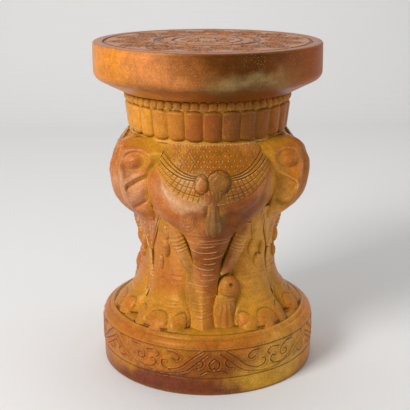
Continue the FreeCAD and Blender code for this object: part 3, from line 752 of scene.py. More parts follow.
def body_shell():
    """Waisted core between the figures: the smooth outline turned, 10 mm thick."""
    z = np.linspace(GROUND, COLLAR_BASE, 60)
    up = np.stack([core_radius(z), z], -1)
    outline = np.concatenate([up, up[::-6] - np.array([CORE_WALL, 0])])
    piece("body_shell", ring(turned(outline, np.arange(0, 360, 2))), BODY_CLAY, 0.1)


# Head and trunk: one D-shaped profile carried down the middle of an elephant

Z_KNOTS = (80, 96, 118, 140, 149, 158, 168, 180, 195, 211, 224, 234, 248, 267, 287, 308, 331)
HALF_WIDTH = (22, 21, 21.5, 21.5, 20.5, 18.5, 19, 22, 27, 35.5, 51, 65, 77, 83.5, 83, 72, 56)
MIDDLE_X = (-13, -13.5, -13.5, -12.5, -10.5, -7.5, -6.2, -5.5, -4.6, -5, -5, -4, -2, 0, 0.5, 1, 0)
SIDE_DEPTH = (97, 94, 92, 91, 91, 91, 91, 91, 92, 93, 92, 89, 82, 77, 77.5, 83, 84)
FRONT_DEPTH = (119, 112, 108.5, 107.5, 107.5, 108.5, 111, 115, 120, 126, 130, 132, 133, 132, 129, 122, 106)
RIGHT_SQUARE = (1.3, 1.3, 1.35, 1.5, 1.7, 2, 2.1, 2.2, 2.1, 2, 1.95, 1.95, 2, 2.1, 2.2, 2.2, 2)
LEFT_SQUARE = (1.35, 1.3, 1.3, 1.4, 1.6, 1.9, 2.1, 2.1, 2.1, 2, 1.95, 1.95, 2, 2.1, 2.2, 2.2, 2)
CHIN = 202
FACE_BACK = 76
BACK_COLUMNS = 9


def face_rows(z):
    """Half width, middle, side depth, front depth and the two squarenesses of the D profile at heights."""
    return [through(z, Z_KNOTS, values) for values in
            (HALF_WIDTH, MIDDLE_X, SIDE_DEPTH, FRONT_DEPTH, LEFT_SQUARE, RIGHT_SQUARE)]


def face_at(x, z):
    """Depth of the face in front of the axis at places (x, z), from the same D profile."""
    half, middle, side, front, left, right = face_rows(z)
    square = np.where(x < middle, left, right)
    share = np.clip(np.abs(x - middle) / half, 0, 0.999)
    return side + (front - side) * (1 - share ** square) ** (1 / square)


def face_grid(z, columns):
    """D profile at each height: a superellipse round the front and a straight back in the core."""
    half, middle, side, front, left, right = [v[:, None] for v in face_rows(z)]
    turn = np.linspace(-0.5, 0.5, columns)[None, :] * math.pi
    square = np.where(turn < 0, left, right)
    x = middle + half * signed_power(np.sin(turn), 2 / square)
    depth = side + (front - side) * np.abs(np.cos(turn)) ** (2 / square)
    skin = np.stack([x, -depth, z[:, None] + 0 * x], -1)
    back_share = np.linspace(0.94, -0.94, BACK_COLUMNS)[None, :]
    back_depth = np.minimum(side - 14, FACE_BACK) + 0 * back_share
    back = np.stack([middle + half * back_share, -back_depth, z[:, None] + 0 * back_share], -1)
    return np.concatenate([skin, back], 1)


# Headdress over half its width: its lower edge, the top of its grid, its cells, the start of its net

CROWN_X = (0, 20, 38, 48, 56, 66, 76)
CROWN_LOW = (257, 260, 265.5, 271, 278, 290, 304)
CROWN_GRID = (287, 288, 291, 295, 300, 309, 320)
CROWN_HALF = 75
CROWN_REACH = 0.93
CROWN_CELL = 4.1
CROWN_CENTRE = 352
CROWN_NET = (292, 293, 298, 305, 313, 325, 338)

# Eyes: place across and up, and half width, height and depth of each fold

EYE_X = 33
EYE_Z = 236
EYE_FOLDS = ((2.6, 239, 0.6), (5.2, 238, 0.9), (8, 237, 0.7), (11.2, 236, 0.5))
WRINKLE_PITCH = 8.6


def face_lift(x, z):
    """Raised and cut detail of the face: brow roll, nested folds of the eyes, and trunk wrinkles."""
    half, middle = face_rows(z)[:2]
    lift, groove, crest_and_highlight = np.zeros((3, *x.shape))
    edge = through(np.abs(x), CROWN_X, CROWN_LOW)
    brow = hill(z - edge + 9, 8) * ease(76, 56, np.abs(x)) * ease(4, 16, np.abs(x))
    lift += 6 * brow
    for hand in (-1, 1):
        u = hand * x - EYE_X + 0.10 * (z - EYE_Z)
        u = u * (1 - 0.018 * np.clip(z - EYE_Z, 0, 14)) + 0.5 * np.sin(0.55 * z + 0.3 * x)
        arms = ease(251, 239, z)
        for wide, centre, depth in EYE_FOLDS:
            away = np.hypot(u, 0.6 * np.minimum(z - centre, 0)) - wide
            fold = ease(1, 0.1, np.abs(away)) * arms
            lift -= 0.5 * depth * fold
            groove = np.maximum(groove, 0.14 * depth * fold)
            # The ridges beside the eye folds carry painted highlights through the crest value
            ridge = hill(away - 1.7, 0.8) * arms
            lift += 0.35 * depth * ridge
            crest_and_highlight += 0.4 * depth * ridge
        lift += 1.4 * np.clip(1 - (u / 10) ** 2 - ((z - EYE_Z) / 16) ** 2, 0, 1)
        lift -= 2.4 * hill(hand * x - 18, 8) * hill(z - 238, 17)
    side_share = np.clip(np.abs(x - middle) / half, 0, 1)
    row = (z - 1.5 * side_share ** 2 + 1.3 * np.sin(x * 0.09 + z * 0.05)) / WRINKLE_PITCH
    near = np.abs((row + 0.5) % 1 - 0.5) * WRINKLE_PITCH
    count = np.floor(row + 0.5)
    start = 0.35 * np.sin(count * 1.9)
    reach = 0.45 + 0.22 * np.sin(count * 2.4)
    off = np.abs((x - middle) / half - start)
    zone = ease(reach + 0.25, reach, off) * ease(221, 211, z) * ease(84, 96, z)
    zone = zone * (0.55 + 0.45 * ease(140, 170, z))
    ridge = hill(near, 0.9) * zone
    lift += 0.8 * ridge - 0.4 * hill(near - 2.4, 1) * zone
    # The ridges of the trunk wrinkles carry painted highlights too
    return lift, groove, crest_and_highlight + 0.6 * ridge


def face_piece(z, columns):
    """Skin, relief and groove values of a stretch of head or trunk between heights."""
    grid = face_grid(z, columns)
    lift, groove, crest_and_highlight = face_lift(grid[:, :columns, 0], grid[:, :columns, 2])
    normal = normals_of(grid)[:, :columns]
    facing = -np.sign(normal[..., 1].mean())
    off = np.abs(np.linspace(-1, 1, columns))[None, :]
    open_side = ease(0.99, 0.86, off)
    grid[:, :columns] += normal * facing * (lift * open_side)[..., None]
    relief, grooves = np.zeros((2, *grid.shape[:2]))
    # Crests lift the relief value into the clay's painted highlight
    relief[:, :columns] = 0.62 - 0.8 * ease(0.78, 0.97, off) + 0.10 * lift + crest_and_highlight * open_side
    grooves[:, :columns] = groove * open_side
    return grid, relief, grooves


# The parts of one elephant are made facing front; each function returns skin, relief, groove

def head():
    """Upper stretch of the D profile, from the chin up into the collar."""
    grid, relief, groove = face_piece(np.linspace(CHIN, COLLAR_BASE + 2, 160), 200)
    return tube(grid), relief, groove


def trunk():
    """Lower stretch of the D profile, from the ground to the chin."""
    grid, relief, groove = face_piece(np.linspace(GROUND - 1, CHIN, 180), 100)
    relief -= 0.35 * ease(160, 110, grid[..., 2])
    return tube(grid), relief, groove


# Right ear: rows from the top to the tip

EAR_Z = (331, 320, 311, 300, 288, 275, 262, 252, 243, 235, 228, 220)
EAR_CREASE = (33, 34, 35.5, 39, 41.5, 44, 45.5, 45, 44, 43.5, 44.5, 47)
EAR_RIM = (59, 57.8, 56.8, 55.4, 54.5, 54.2, 53.2, 53, 53.2, 53.4, 54, 55.5)
EAR_RIM_R = (137, 138, 141, 145, 145.5, 144, 141, 137.5, 132, 125.5, 118, 108)
EAR_PLANE_R = (134, 135, 138, 141, 142, 141.5, 139, 135.5, 129.5, 122.5, 115, 105)
EAR_ROUND = 13
EAR_ROWS = 140
EAR_FRONT = 76
EAR_BACK = 17
EAR_SEAM = 60.6


def ear_relief(a, b):
    """Raised form of the ear's front over two shares: a from the crease to the rim, b from top to tip.

    A rolled ring round a dome at the top, and two slanting grooves with lobes between them."""
    first = b - 0.395 - 0.20 * a
    second = b - 0.71 - 0.12 * a
    across = np.sin(math.pi * a)
    lobes = 6 * hill(first - 0.15, 0.12) + 7 * hill(second - 0.13, 0.12)
    u = (a - 0.64) / 0.37
    v = (b - 0.235) / 0.14
    reach = np.hypot(u, v)
    roll = hill(reach - 1, 0.30) * ease(0.95, 0.2, v + 0.55 * u)
    dome = np.clip(1 - (reach / 0.74) ** 2, 0, 1)
    fold = hill(first + 0.075, 0.035) * ease(0.15, 0.4, a)
    trough = hill(first, 0.034) * ease(0.10, 0.3, a)
    crack = hill(second, 0.022) * ease(0.05, 0.25, a)
    lift = across ** 0.6 * lobes - 3.6 * across ** 0.9 + 4 * roll + 6 * dome
    lift = lift + 3.2 * fold - 2 * trough - 2.2 * crack
    return lift * ease(1, 0.84, a), 0.16 * crack


def ear():
    """Right ear: a modelled front from crease to rim, a rolled rim, and a back on the plane between ears.

    Slip fills the corner between the front and the headdress."""
    z = between(EAR_Z[0], EAR_Z[-1], np.linspace(0, 1, EAR_ROWS)[:, None] ** 1.25)
    crease, rim, rim_r, plane_r = [through(z, EAR_Z[::-1], values[::-1]) for values in
                                   (EAR_CREASE, EAR_RIM, EAR_RIM_R, EAR_PLANE_R)]
    core = core_radius(z)
    inside = core - CORE_WALL
    up = np.clip((z - EAR_Z[0] + EAR_ROUND) / EAR_ROUND, 0, 1)
    fall = np.sqrt(np.clip(1 - 0.97 * up * up, 0, 1))
    rim_r = between(core + 2, rim_r, fall)
    plane_r = between(core + 1, plane_r, fall)
    a = np.linspace(0, 1, EAR_FRONT)[None, :]
    b = (EAR_Z[0] - z) / (EAR_Z[0] - EAR_Z[-1])
    root_r = core + 5 + 10 * ease(0.42, 0.70, b) - 13 * ease(0.15, 0, b)
    root_r = np.minimum(root_r, rim_r - 3)
    front = polar(between(root_r, rim_r, a), between(crease, rim, a), z)
    way = front[:, -1:] - front[:, :1]
    facing = np.stack([way[..., 1], -way[..., 0], 0 * way[..., 0]], -1)
    facing /= np.linalg.norm(facing, axis=-1, keepdims=True)
    depth = np.clip((rim_r - root_r) / 24, 0, 1)
    form, cut = ear_relief(a, b)
    lift = (form + hill(a - 0.96, 0.08)) * depth
    slip = ease(0.55, 0.12, a) * ease(0.02, 0.12, b) * ease(0.50, 0.36, b) * depth
    front = front + facing * (lift + 6.5 * slip)[..., None]
    share = np.linspace(0, 1, EAR_BACK + 1)[None, 1:]
    hollow = 1.6 * np.sin(math.pi * share) * (1 - 2.2 * np.abs(share - 0.2)) * depth
    seam = hill(share - 1, 0.12) * depth * ease(0.08, 0.3, b)
    back = polar(between(rim_r, plane_r, share) + hollow - 2.2 * seam, between(rim, EAR_SEAM, share), z)
    behind = polar(between(inside, plane_r, np.linspace(1, 0, 10)[None, 1:]), EAR_SEAM, z)
    foot = polar(inside, between(crease, EAR_SEAM, np.linspace(1, 0, 6)[None, 1:-1]), z)
    lead = polar(between(inside, root_r, np.linspace(0, 1, 5)[None, :-1]), crease, z)
    grid = np.concatenate([front, back, behind, foot, lead], 1)
    end = EAR_FRONT + EAR_BACK
    relief, groove = np.zeros((2, *grid.shape[:2]))
    relief[:, :EAR_FRONT] = 0.40 + 0.10 * np.clip(lift, -4, 5) + 0.22 * ease(0.4, 1, a) - 0.25 * slip
    relief[:, EAR_FRONT:end] = 0.7 - 0.4 * seam
    relief -= 0.45 * ease(0.12, 0, b)
    groove[:, :EAR_FRONT] = cut * depth
    groove[:, EAR_FRONT:end] = 0.35 * seam ** 2
    return tube(grid), relief, groove


# Right leg: ovals from the ground to the shoulder

LEG_Z = (79, 86, 95, 104, 113, 124, 138, 150, 165, 185, 200, 220, 240)
LEG_ANGLE = (38, 38, 38, 38, 38.5, 39, 39.5, 40, 40, 40.5, 41, 41.5, 42)
LEG_FRONT = (131, 128, 120.5, 111.5, 104.5, 99.5, 96, 93.5, 92, 92.8, 95.5, 102.5, 110)
LEG_HALF = (42, 42, 40.5, 38, 35.5, 33.5, 32.5, 32, 32, 33, 34, 36, 38)
LEG_BACK = 62
LEG_SQUARE = 2.35
SOLE = LEG_Z[0]
TOES = (-0.90, -0.08, 0.72)


def leg_oval(turn, front, half):
    """Squared oval of a leg at turns round it: places across it, and distances from the axis."""
    mid = (front + LEG_BACK) / 2
    power = 2 / LEG_SQUARE
    return half * signed_power(np.sin(turn), power), mid + (front - mid) * signed_power(np.cos(turn), power)


def leg():
    """Right leg and foot: squared ovals, with toes swelling round the foot and folds at the ankle."""
    z = np.concatenate([np.linspace(SOLE, 125, 60), np.linspace(126, LEG_Z[-1], 60)])[:, None]
    angle, front, half = [through(z, LEG_Z, v) for v in (LEG_ANGLE, LEG_FRONT, LEG_HALF)]
    turn = np.linspace(-math.pi, math.pi, 120, endpoint=False)[None, :]
    off = np.abs(turn)
    side, depth = leg_oval(turn, front, half)
    lift, groove, nail = np.zeros((3, *side.shape))
    for toe in TOES:
        arch = (np.abs((turn - toe) / 0.36) ** 2.5 + np.abs((z - SOLE) / 21) ** 2.5) ** 0.4
        edge = ease(0.075, 0.01, np.abs(arch - 1))
        lift += 2.4 * np.clip(1 - arch ** 2, 0, 1) ** 0.7 - 0.8 * edge + 0.4 * hill(arch - 1.17, 0.10)
        groove = np.maximum(groove, 0.6 * edge * ease(1.9, 1.2, off))
        nail = np.maximum(nail, np.clip(1 - arch, 0, 1))
    lift *= ease(1.9, 1.4, off)
    # Painted shade: a dark line round the foot just above the sole, where it stands on the ground
    floor_contact_shade = ease(2.2, 0.3, np.abs(z - SOLE - 1.6))
    groove = np.maximum(groove, 0.95 * floor_contact_shade * ease(2, 1.5, off))
    for at, strength in ((109, 1.2), (139.5, 1.1), (146, 1.2), (152, 0.6)):
        over = z - at + 3.5 * np.cos(turn * 1.2)
        lift += strength * (0.7 * hill(over - 3.2, 2) - hill(over, 2.2)) * ease(1.2, 0.5, off)
    lift += 0.36 * ease(112, 90, z) * np.sin(turn * 3 + 0.8)
    grid = polar(1, angle, 0) * depth[..., None] + polar(1, angle + 90, 0) * side[..., None]
    grid[..., 2] = z
    normal = normals_of(grid)
    facing = np.sign((normal * (grid - grid.mean(1, keepdims=True))).sum(-1).mean())
    grid += normal * facing * lift[..., None]
    grid[..., 2] = np.maximum(grid[..., 2], SOLE)
    relief = 0.12 + 0.35 * ease(100, 150, z) * ease(1.2, 0.2, off) + 0.06 * lift + 0.15 * nail
    return tube(grid), relief, groove


def swept(path, radius_u, radius_v, columns, lift=0):
    """Round tube along a path: ovals square to the path, with an optional raised pattern."""
    tangent = np.gradient(path, axis=0)
    tangent /= np.linalg.norm(tangent, axis=1, keepdims=True)
    out = path * np.array([1, 1, 0])
    out /= np.linalg.norm(out, axis=1, keepdims=True)
    side = np.cross(tangent, out)
    side /= np.linalg.norm(side, axis=1, keepdims=True)
    up = np.cross(side, tangent)
    turn = np.linspace(0, TURN, columns, endpoint=False)
    ru = (radius_u[:, None] + lift)[..., None]
    rv = (radius_v[:, None] + lift)[..., None]
    return (path[:, None] + side[:, None] * ru * np.cos(turn)[None, :, None]
            + up[:, None] * rv * np.sin(turn)[None, :, None])


TUSK_AT = (0, 0.25, 0.6, 0.9, 1)
TUSK_Z = (222, 203, 178, 157, 151)
TUSK_R = (97, 95.5, 91.5, 96.5, 98.5)
TUSK_THICK = (10, 10.5, 9.4, 6, 1.5)
TUSK_ANGLE = {-1: (-31, -28.8, -24, -16, -12.5), 1: (27, 24, 19, 10.5, 7)}


def tusk(hand):
    """Tusk: a tapering tube that leaves the cheek and bends to the trunk, with rings round its root."""
    columns = 28
    t = np.linspace(0, 1, 90)
    z, radius, angle, thick = [through(t, TUSK_AT, values) for values in
                               (TUSK_Z, TUSK_R, TUSK_ANGLE[hand], TUSK_THICK)]
    rings = 0.5 * np.sin(t * TURN * 14) * ease(0.16, 0.24, t) * ease(0.60, 0.52, t)
    grid = swept(polar(radius, angle, z), thick, thick * 0.85, columns, rings[:, None])
    return tube(grid), np.repeat(0.9 + 0.25 * rings - 0.15 * ease(0.55, 0.4, t), columns), 0


def pebble(centre, u, v, w, columns=28, rows=18, lift=None):
    """Ellipsoid: half sizes along three directions, with an optional raised pattern."""
    turn = np.linspace(0, TURN, columns, endpoint=False)[None, :]
    rise = np.linspace(0.04, math.pi - 0.04, rows)[:, None]
    extra = 1 if lift is None else 1 + lift(turn, rise)
    shape = (np.sin(rise) * np.cos(turn) * extra)[..., None] * u + (np.cos(rise) * extra)[..., None] * v
    return centre + shape + (np.sin(rise) * np.sin(turn) * extra)[..., None] * w


def trunk_tip():
    """Curled end of the trunk: a tube that turns up beside it into a bulb, with a lip and a nostril."""
    t = np.linspace(0, 1, 80)
    path = path_through(t, np.linspace(0, 1, 5), (0, 9, 18.5, 22, 21.5),
                        (-92, -93, -92.5, -90, -86), (104, 105, 115, 131, 148))
    thick = through(t, (0, 0.3, 0.55, 0.75, 0.92, 1), (9, 10, 13, 14, 9.5, 2))
    grid = swept(path, thick, thick * 0.95, 48)
    x, y, z = np.moveaxis(grid, -1, 0)
    pit = hill(np.linalg.norm(grid - np.array([25.5, -101, 137]), axis=-1), 2.2)
    front = ease(-93, -100, y)
    lip = hill(z - 121.5 + 0.25 * (x - 20), 1.5) * front
    under = hill(z - 116.5, 2.5) * front
    out = grid - path[:, None]
    out /= np.maximum(np.linalg.norm(out, axis=-1, keepdims=True), 1e-6)
    grid = grid + out * (1.2 * under - 3 * pit - 1.4 * lip)[..., None]
    return tube(grid), 0.42 + 0 * pit, np.clip(pit * 1.8 + 0.2 * lip, 0, 1)


def sheaf():
    """Leaves under the trunk tip: a flat column with ridges that fan out from its top to the ground."""
    t = np.linspace(0, 1, 60)
    middle = 17
    path = np.stack([middle + 0 * t, -95 + 0 * t, GROUND - 1 + 42 * t], -1)
    wide = through(t, (0, 0.5, 1), (19.5, 17, 12))
    deep = through(t, (0, 0.3, 0.7, 1), (17, 14.5, 13, 9))
    grid = swept(path, wide, deep, 90)
    fan_from, leaf_turn = 140, 0.19
    fan = np.arctan2(grid[..., 0] - middle, fan_from - grid[..., 2]) / leaf_turn
    ridge = np.abs((fan + 0.5) % 1 - 0.5) * 2
    front = ease(-96, -101, grid[..., 1]) * ease(0.95, 0.7, t)[:, None]
    grid[..., 1] -= 1.5 * (0.5 - ridge) * front
    return tube(grid), 0.12 + 0.25 * (1 - ridge) * front, 0.12 * ease(0.8, 1, ridge) * front


def net(u, v, pitch_u, pitch_v, thread, knob):
    """Diamond net: raised threads along two diagonals and a dot in each diamond."""
    p = u / pitch_u + v / pitch_v
    q = u / pitch_u - v / pitch_v
    scale = 1 / math.hypot(1 / pitch_u, 1 / pitch_v)
    near = np.minimum(np.abs((p + 0.5) % 1 - 0.5), np.abs((q + 0.5) % 1 - 0.5)) * scale
    strand = ease(thread, 0, near)
    dot = ease(knob, 0.35 * knob, np.hypot(p % 1 - 0.5, q % 1 - 0.5) * scale)
    return strand, dot


# Bosses of the brow jewel: place across and up, half width, half height

BOSSES = ((-15.5, 284, 8.5, 11.5), (6.5, 286, 14, 14))


def headdress():
    """Cap on the brow: a skin over the face profile above a hanging edge.

    From its top it carries a dotted net, three cut lines and a gridded band, with a cut round
    each boss."""
    s = np.linspace(-1, 1, 216)[None, :]
    flat = CROWN_HALF * s
    low = through(np.abs(flat), CROWN_X, CROWN_LOW)
    z = between(low, COLLAR_BASE + 1, np.linspace(0, 1, 104)[:, None])
    half, middle = face_rows(z)[:2]
    x = middle + np.clip(flat, -CROWN_REACH * half, CROWN_REACH * half)
    grid = np.stack([x, -face_at(x, z), z], -1)
    over = np.abs(x)
    low_here, grid_top, net_low = [through(over, CROWN_X, v) for v in (CROWN_LOW, CROWN_GRID, CROWN_NET)]
    part = (z - low_here) / (grid_top - low_here)
    line_part = (z - grid_top) / (net_low - grid_top)
    strand = net(x, z, 15, 23, 1.3, 1)[0]
    dot = net(x, z, 7.5, 11.5, 1, 1.5)[1]
    netted = ease(1, 1.25, line_part) * ease(66, 48, over)
    gap = 0.75 * (net_low - grid_top)
    lines = np.maximum.reduce([ease(0.95, 0.15, np.abs(line_part - at) * gap) for at in (0, 0.5, 1)])
    angle = np.degrees(np.arctan2(x, CROWN_CENTRE - z))
    cell_u = np.abs((angle / CROWN_CELL) % 1 - 0.5) * 2
    cell_v = np.abs((part * 3) % 1 - 0.5) * 2
    band = ease(0, 0.06, part) * ease(1.04, 0.98, part) * ease(13, 17, over) * ease(73, 66, over)
    coin = (1 - cell_u ** 4) * (1 - cell_v ** 4) * band
    upright = cell_u * ease(66, 50, over)
    grid_cut = ease(0.74, 1, np.maximum(upright, cell_v)) * band
    lift = 2.2 + netted * (0.4 * strand + 0.6 * dot) - 0.9 * lines + 0.5 * coin - 0.7 * grid_cut
    lift = lift * ease(-0.12, 0.08, part) + 0.2
    border = ease(1, 0.96, np.abs(s))
    normal = normals_of(grid, False)
    normal *= np.sign(-normal[..., 1:2])
    front = grid + normal * (lift * border)[..., None]
    back = grid - normal * 2.5
    relief = 0.15 + netted * (0.95 * strand + 0.85 * dot) + 0.12 * ease(1.05, 0.9, part)
    groove = np.maximum(0.8 * lines, 0.6 * grid_cut)
    for across, up, wide, high in BOSSES:
        round_boss = np.hypot((x - across) / wide, (z - up) / high) - 1.04
        groove = np.maximum(groove, 0.85 * hill(round_boss, 0.12))
    return plate(front, back), np.append(relief, np.full(relief.shape, 0.2)), groove


def on_brow(x, z, lift):
    """Point on the face, lifted off it."""
    return np.array([x, -face_at(x, z) - lift, z])


def coil(turn, rise):
    """Pattern of a boss: lines that wind round it, with soft lumps."""
    away = np.arccos(np.clip(np.sin(rise) * np.sin(turn), -1, 1))
    return 0.05 * np.sin(away * 8 + 2 * turn) + 0.06 * np.sin(turn * 3 + rise * 5)


def flutes(turn, rise):
    """Pattern of the fan: upright ribs."""
    return 0.06 * np.sin(np.sin(rise) * np.cos(turn) * 16)


def brow_jewel():
    """Two round bosses on the brow, a fluted fan under them, and a long drop that hangs from it."""
    skins = []
    for x, z, wide, high, out, lean, deep, columns, pattern in (
            *[(*boss, 1.5, 1.6, 5.2, 44, coil) for boss in BOSSES],
            (-2, 268, 12, 8.5, 1.2, 0, 3.6, 56, flutes)):
        half_sizes = np.array([[wide, 0, 0], [0, lean, high], [0, -deep, 0]])
        skins.append(tube(pebble(on_brow(x, z, out), *half_sizes, columns, 30, pattern)))
    t = np.linspace(0, 1, 60)
    z = 264 - 51 * t
    x = -1 + 0 * t
    path = np.stack([x, 1 - face_at(x, z), z], -1)
    at = (0, 0.1, 0.25, 0.45, 0.62, 0.8, 0.93, 1)
    wide = through(t, at, (4.8, 5.8, 6.8, 8.6, 10.2, 10, 6.8, 0.8))
    deep = through(t, at, (4, 5.4, 6.4, 7.8, 8.4, 7, 4, 0.8))
    turn = np.linspace(0, TURN, 44, endpoint=False)[None, :]
    keel = -1.3 * hill(np.abs(turn - TURN / 4) - 0.55, 0.20) * ease(0.1, 0.35, t)[:, None]
    return joined(*skins, tube(swept(path, wide, deep, 44, keel))), 0.55, 0


CLOTH_LOW = 171


def body_patch(angle_low, angle_high, z_high, rows, columns):
    """Angles, heights and shares across for a cloth that lies over the body."""
    share = np.linspace(0, 1, columns)[None, :]
    z = np.linspace(CLOTH_LOW, z_high, rows)[:, None]
    low, high = [through(z, (CLOTH_LOW, z_high), angles) for angles in (angle_low, angle_high)]
    return between(low, high, share), z, share


def leg_surface(angle, z):
    """Radius of the front of a right leg at an angle and a height, from its squared oval."""
    middle, front, half = [through(z, LEG_Z, v) for v in (LEG_ANGLE, LEG_FRONT, LEG_HALF)]
    off = np.radians(np.abs(angle - middle)) * front
    share = np.clip(off / half, 0, 0.97)
    mid = (front + LEG_BACK) / 2
    return np.hypot(mid + (front - mid) * (1 - share ** LEG_SQUARE) ** (1 / LEG_SQUARE), share * half)


def shoulder_cloth():
    """Right shoulder's plain cloth: a thin skin over the leg's top between the hem and the cheek."""
    angle, z, share = body_patch((40, 26), (55, 38.5), 240, 30, 26)
    base = leg_surface(angle, z)
    border = np.minimum(np.minimum(share, 1 - share) * 8, (z - CLOTH_LOW) / 8)
    front = polar(base + 0.9 * ease(0, 0.5, border), angle, z)
    relief = np.full(base.shape, 0.2)
    return plate(front, polar(base - 8, angle, z)), np.append(relief, 0 * relief), 0


# Drops on a leg: angle, height, half width, half height, how far out, ribs

TASSELS = {-1: ((40.5, 181, 6.8, 12, 1.6, 0.25), (45.6, 159, 4.6, 10, 1.2, 0.15),
                  (38.6, 202, 6.5, 8, -1, 0), (37, 213, 2.2, 2.2, 0.6, 0)),
           1: ((36, 182, 6.4, 11.5, 1.4, 0.25), (42.5, 161, 5.2, 9.5, 1.2, 0.15),
                 (48, 177, 5.6, 11, 1.2, 0.15), (36.5, 205, 4.5, 6.5, -0.5, 0))}


def tassels(hand):
    """Drops that hang on the leg: an upright pebble each, some with ring lines round them."""
    skins = []
    for angle, z, wide, high, out, ribs in TASSELS[hand]:
        centre = polar(leg_surface(angle, z) + out - 0.4, hand * angle, z)
        side = polar(1, hand * angle + 90, 0)
        ahead = polar(1, hand * angle, 0)
        upright = np.array([0, 0, high])
        skins.append(tube(pebble(centre, side * wide, upright, ahead * min(wide, 6), 26, 40,
                                 lambda turn, rise: 0.055 * ribs * np.sin(rise * 13) + 0 * turn)))
    return joined(*skins), 0.6, 0


def toenail_set():
    """Right foot's toes with their nails: domes that lean back into the foot, just proud of it."""
    skins = []
    radial = polar(1, LEG_ANGLE[0], 0)
    across = polar(1, LEG_ANGLE[0] + 90, 0)
    for toe in TOES:
        side, depth = leg_oval(toe, LEG_FRONT[0], LEG_HALF[0])
        facing = radial * math.cos(toe) + across * math.sin(toe)
        tangent = across * math.cos(toe) - radial * math.sin(toe)
        centre = radial * depth + across * side - facing * 8 + np.array([0, 0, SOLE + 1])
        rise = np.array([0, 0, 17]) - facing * 7
        dome = pebble(centre, tangent * 14, rise, facing * 12, 36, 28)
        dome[..., 2] = np.maximum(dome[..., 2], SOLE)
        skins.append(tube(dome))
    return joined(*skins), 0.2, 0


def pennant():
    """Netted cloth between two elephants: a skin on the core that narrows to a point, with a hem."""
    angle, z, share = body_patch((58.8, 33.5), (61.2, 86.5), 241, 104, 140)
    fold = MIDWAY - np.abs(angle - MIDWAY)
    base = np.maximum(core_radius(z) + 4, leg_surface(fold, z) + 1.6)
    across = np.radians(angle - MIDWAY) * base
    strand, dot = net(across, z, 11, 19, 1.3, 2)
    edge = np.minimum(share, 1 - share) * np.radians(angle[:, -1:] - angle[:, :1]) * base
    inside = ease(4.2, 5.4, edge)
    cut = ease(0.9, 0.2, np.minimum(np.abs(edge - 3.6), np.abs(edge - 0.7)))
    radius = base - 0.8 + ease(0, 1.2, edge) - cut + (0.25 * strand + 0.35 * dot) * inside
    relief = 0.36 + (strand + 1.3 * dot) * inside
    skin = plate(polar(radius, angle, z), polar(base - 16, angle, z))
    return skin, np.append(relief, 0 * relief), 0.65 * cut


def cord():
    """Strands in the valley between two elephants: leaf-like ribbons that hang down to the feet."""
    skins = []
    rows, columns = 70, 16
    t = np.linspace(0, 1, rows)
    for top, foot, start, end, wide in ((-1.4, -3.4, 172, 110, 4.2), (0.4, 0.2, 172, 104, 3),
                                        (2.4, 3.8, 150, 112, 4)):
        z = between(start, end, t)
        radius = core_radius(z) + 4.5 + 5 * ease(130, 100, z)
        thick = wide * through(t, (0, 0.2, 0.5, 0.75, 1), (0.2, 0.8, 0.8, 1.3, 0.25))
        path = polar(radius, MIDWAY + between(top, foot, t), z)
        skins.append(tube(swept(path, thick, np.full(rows, 2.6), columns, 0.2 * np.sin(t * 50)[:, None])))
    turn = np.linspace(0, TURN, columns, endpoint=False)
    flank = np.tile(0.75 * ease(0.55, 0.95, np.abs(np.cos(turn))), rows)
    return joined(*skins), 0.3, np.concatenate([on_vertices(flank, len(part[0]), 0) for part in skins])


def grouped(left, right):
    """Two made parts as one, with each part's values on its own vertices."""
    values = [np.concatenate([on_vertices(part[i], len(part[0][0]), 0) for part in (left, right)])
              for i in (1, 2)]
    return (joined(left[0], right[0]), *values)


def place(label, made, names):
    """One copy of a made part for each elephant or gap, turned about the axis."""
    (points, quads, fans), relief, groove = made
    for index, name in enumerate(names):
        skin = (turned_points(points, -index * SECTOR), quads, fans)
        piece(name + "_" + label, skin, FIGURE_CLAY, relief, groove)


def elephants():
    """All parts of the elephants and what hangs between them."""
    right_ear, right_leg, nails, cloth = ear(), leg(), toenail_set(), shoulder_cloth()
    for label, made in (
            ("head", head()), ("trunk", trunk()), ("trunk_tip", trunk_tip()), ("sheaf", sheaf()),
            ("right_ear", right_ear), ("left_ear", mirrored(right_ear)),
            ("right_leg", right_leg), ("left_leg", mirrored(right_leg)),
            ("tusks", grouped(tusk(-1), tusk(1))), ("toenails", grouped(mirrored(nails), nails)),
            ("headdress", headdress()), ("brow_jewel", brow_jewel()),
            ("shoulder_cloths", grouped(mirrored(cloth), cloth)),
            ("tassels", grouped(tassels(-1), tassels(1)))):
        place(label, made, ELEPHANTS)
    place("pennant", pennant(), GAPS)
    place("cord", cord(), GAPS)


# Stage, light and camera

CAMERA_AZIMUTH = -3.5
CAMERA_DISTANCE = 1215.3
CAMERA_HEIGHT = 580.7
CAMERA_PITCH = 16.581
CAMERA_LENS = 78.76
AXIS_SHIFT = -2.6 / 410


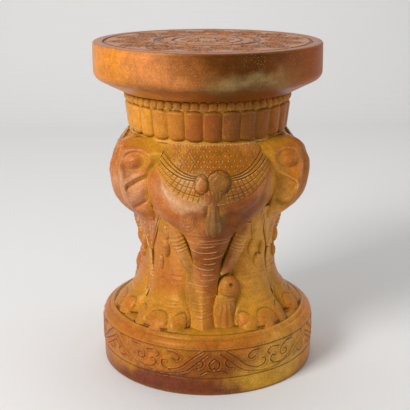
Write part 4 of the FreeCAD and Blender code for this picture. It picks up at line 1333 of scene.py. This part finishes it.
def studio():
    """Pale floor and sweep, soft lamps and the photograph's camera."""
    scene = bpy.context.scene
    floor = bpy.data.meshes.new("floor")
    far, high = 4, 3
    t = np.linspace(0, 1, 24)
    bend = np.stack([1.6 + 0.6 * np.sin(t * math.pi / 2), 0.6 * (1 - np.cos(t * math.pi / 2))], -1)
    profile = np.concatenate([[[-far, 0]], bend, [[2.2, high]]])
    x = np.array([-far, far])
    points = np.stack([np.repeat(x[None, :], len(profile), 0), np.repeat(profile[:, :1], 2, 1),
                       np.repeat(profile[:, 1:], 2, 1)], -1).reshape(-1, 3)
    floor.from_pydata(points.tolist(), [], grid_quads(len(profile), 2).tolist())
    sweep = bpy.data.objects.new("floor", floor)
    scene.collection.objects.link(sweep)
    paper = bpy.data.materials.new("matt_paper_sweep")
    paper.use_nodes = True
    tree = paper.node_tree
    shader = tree.nodes["Principled BSDF"]
    shader.inputs["Roughness"].default_value = 0.9
    shade = add(tree, "ShaderNodeTexNoise", {"Scale": 1.2})
    tone = add(tree, "ShaderNodeMapRange", {0: shade.outputs["Fac"], 3: 0.70, 4: 0.74})
    tree.links.new(tone.outputs[0], shader.inputs["Base Color"])
    floor.materials.append(paper)
    for name, spot, aim, size, power in (
            ("key", (-1.75, -1.65, 1.8), (0, 0, 0.25), 1, 76),
            ("fill", (2.3, -0.45, 0.9), (0, 0, 0.2), 1.6, 11),
            ("top", (0.1, 0.7, 2.5), (0, 1.5, 0.6), 1.6, 22)):
        lamp = bpy.data.lights.new(name, "AREA")
        lamp.size = size
        lamp.energy = power
        thing = bpy.data.objects.new(name, lamp)
        thing.location = spot
        way = np.array(aim) - np.array(spot)
        thing.rotation_euler = (math.atan2(math.hypot(way[0], way[1]), -way[2]), 0,
                                math.atan2(way[1], way[0]) - math.pi / 2)
        scene.collection.objects.link(thing)
    world = bpy.data.worlds.new("soft_room")
    scene.world = world
    world.use_nodes = True
    background = world.node_tree.nodes["Background"]
    background.inputs["Color"].default_value = (1, 0.97, 0.92, 1)
    background.inputs["Strength"].default_value = 0.25
    camera = bpy.data.cameras.new("camera")
    camera.lens = CAMERA_LENS
    camera.sensor_width = 36
    camera.shift_x = AXIS_SHIFT
    eye = bpy.data.objects.new("camera", camera)
    eye.location = polar(CAMERA_DISTANCE, CAMERA_AZIMUTH, CAMERA_HEIGHT) * MM
    eye.rotation_euler = (math.radians(90 - CAMERA_PITCH), 0, math.radians(CAMERA_AZIMUTH))
    scene.collection.objects.link(eye)
    scene.camera = eye
    scene.view_settings.view_transform = "Standard"


seat_drum()
seat_slab()
lobed_ring("bead_band", BEAD_BASE, SEAT_BASE, 26, 4, 0.6, BEADS, bead)
lobed_ring("collar", COLLAR_BASE, BEAD_BASE, 56, 6, 0.45, FLUTES, flute)
body_shell()
plinth_top()
plinth_drum()
elephants()
studio()
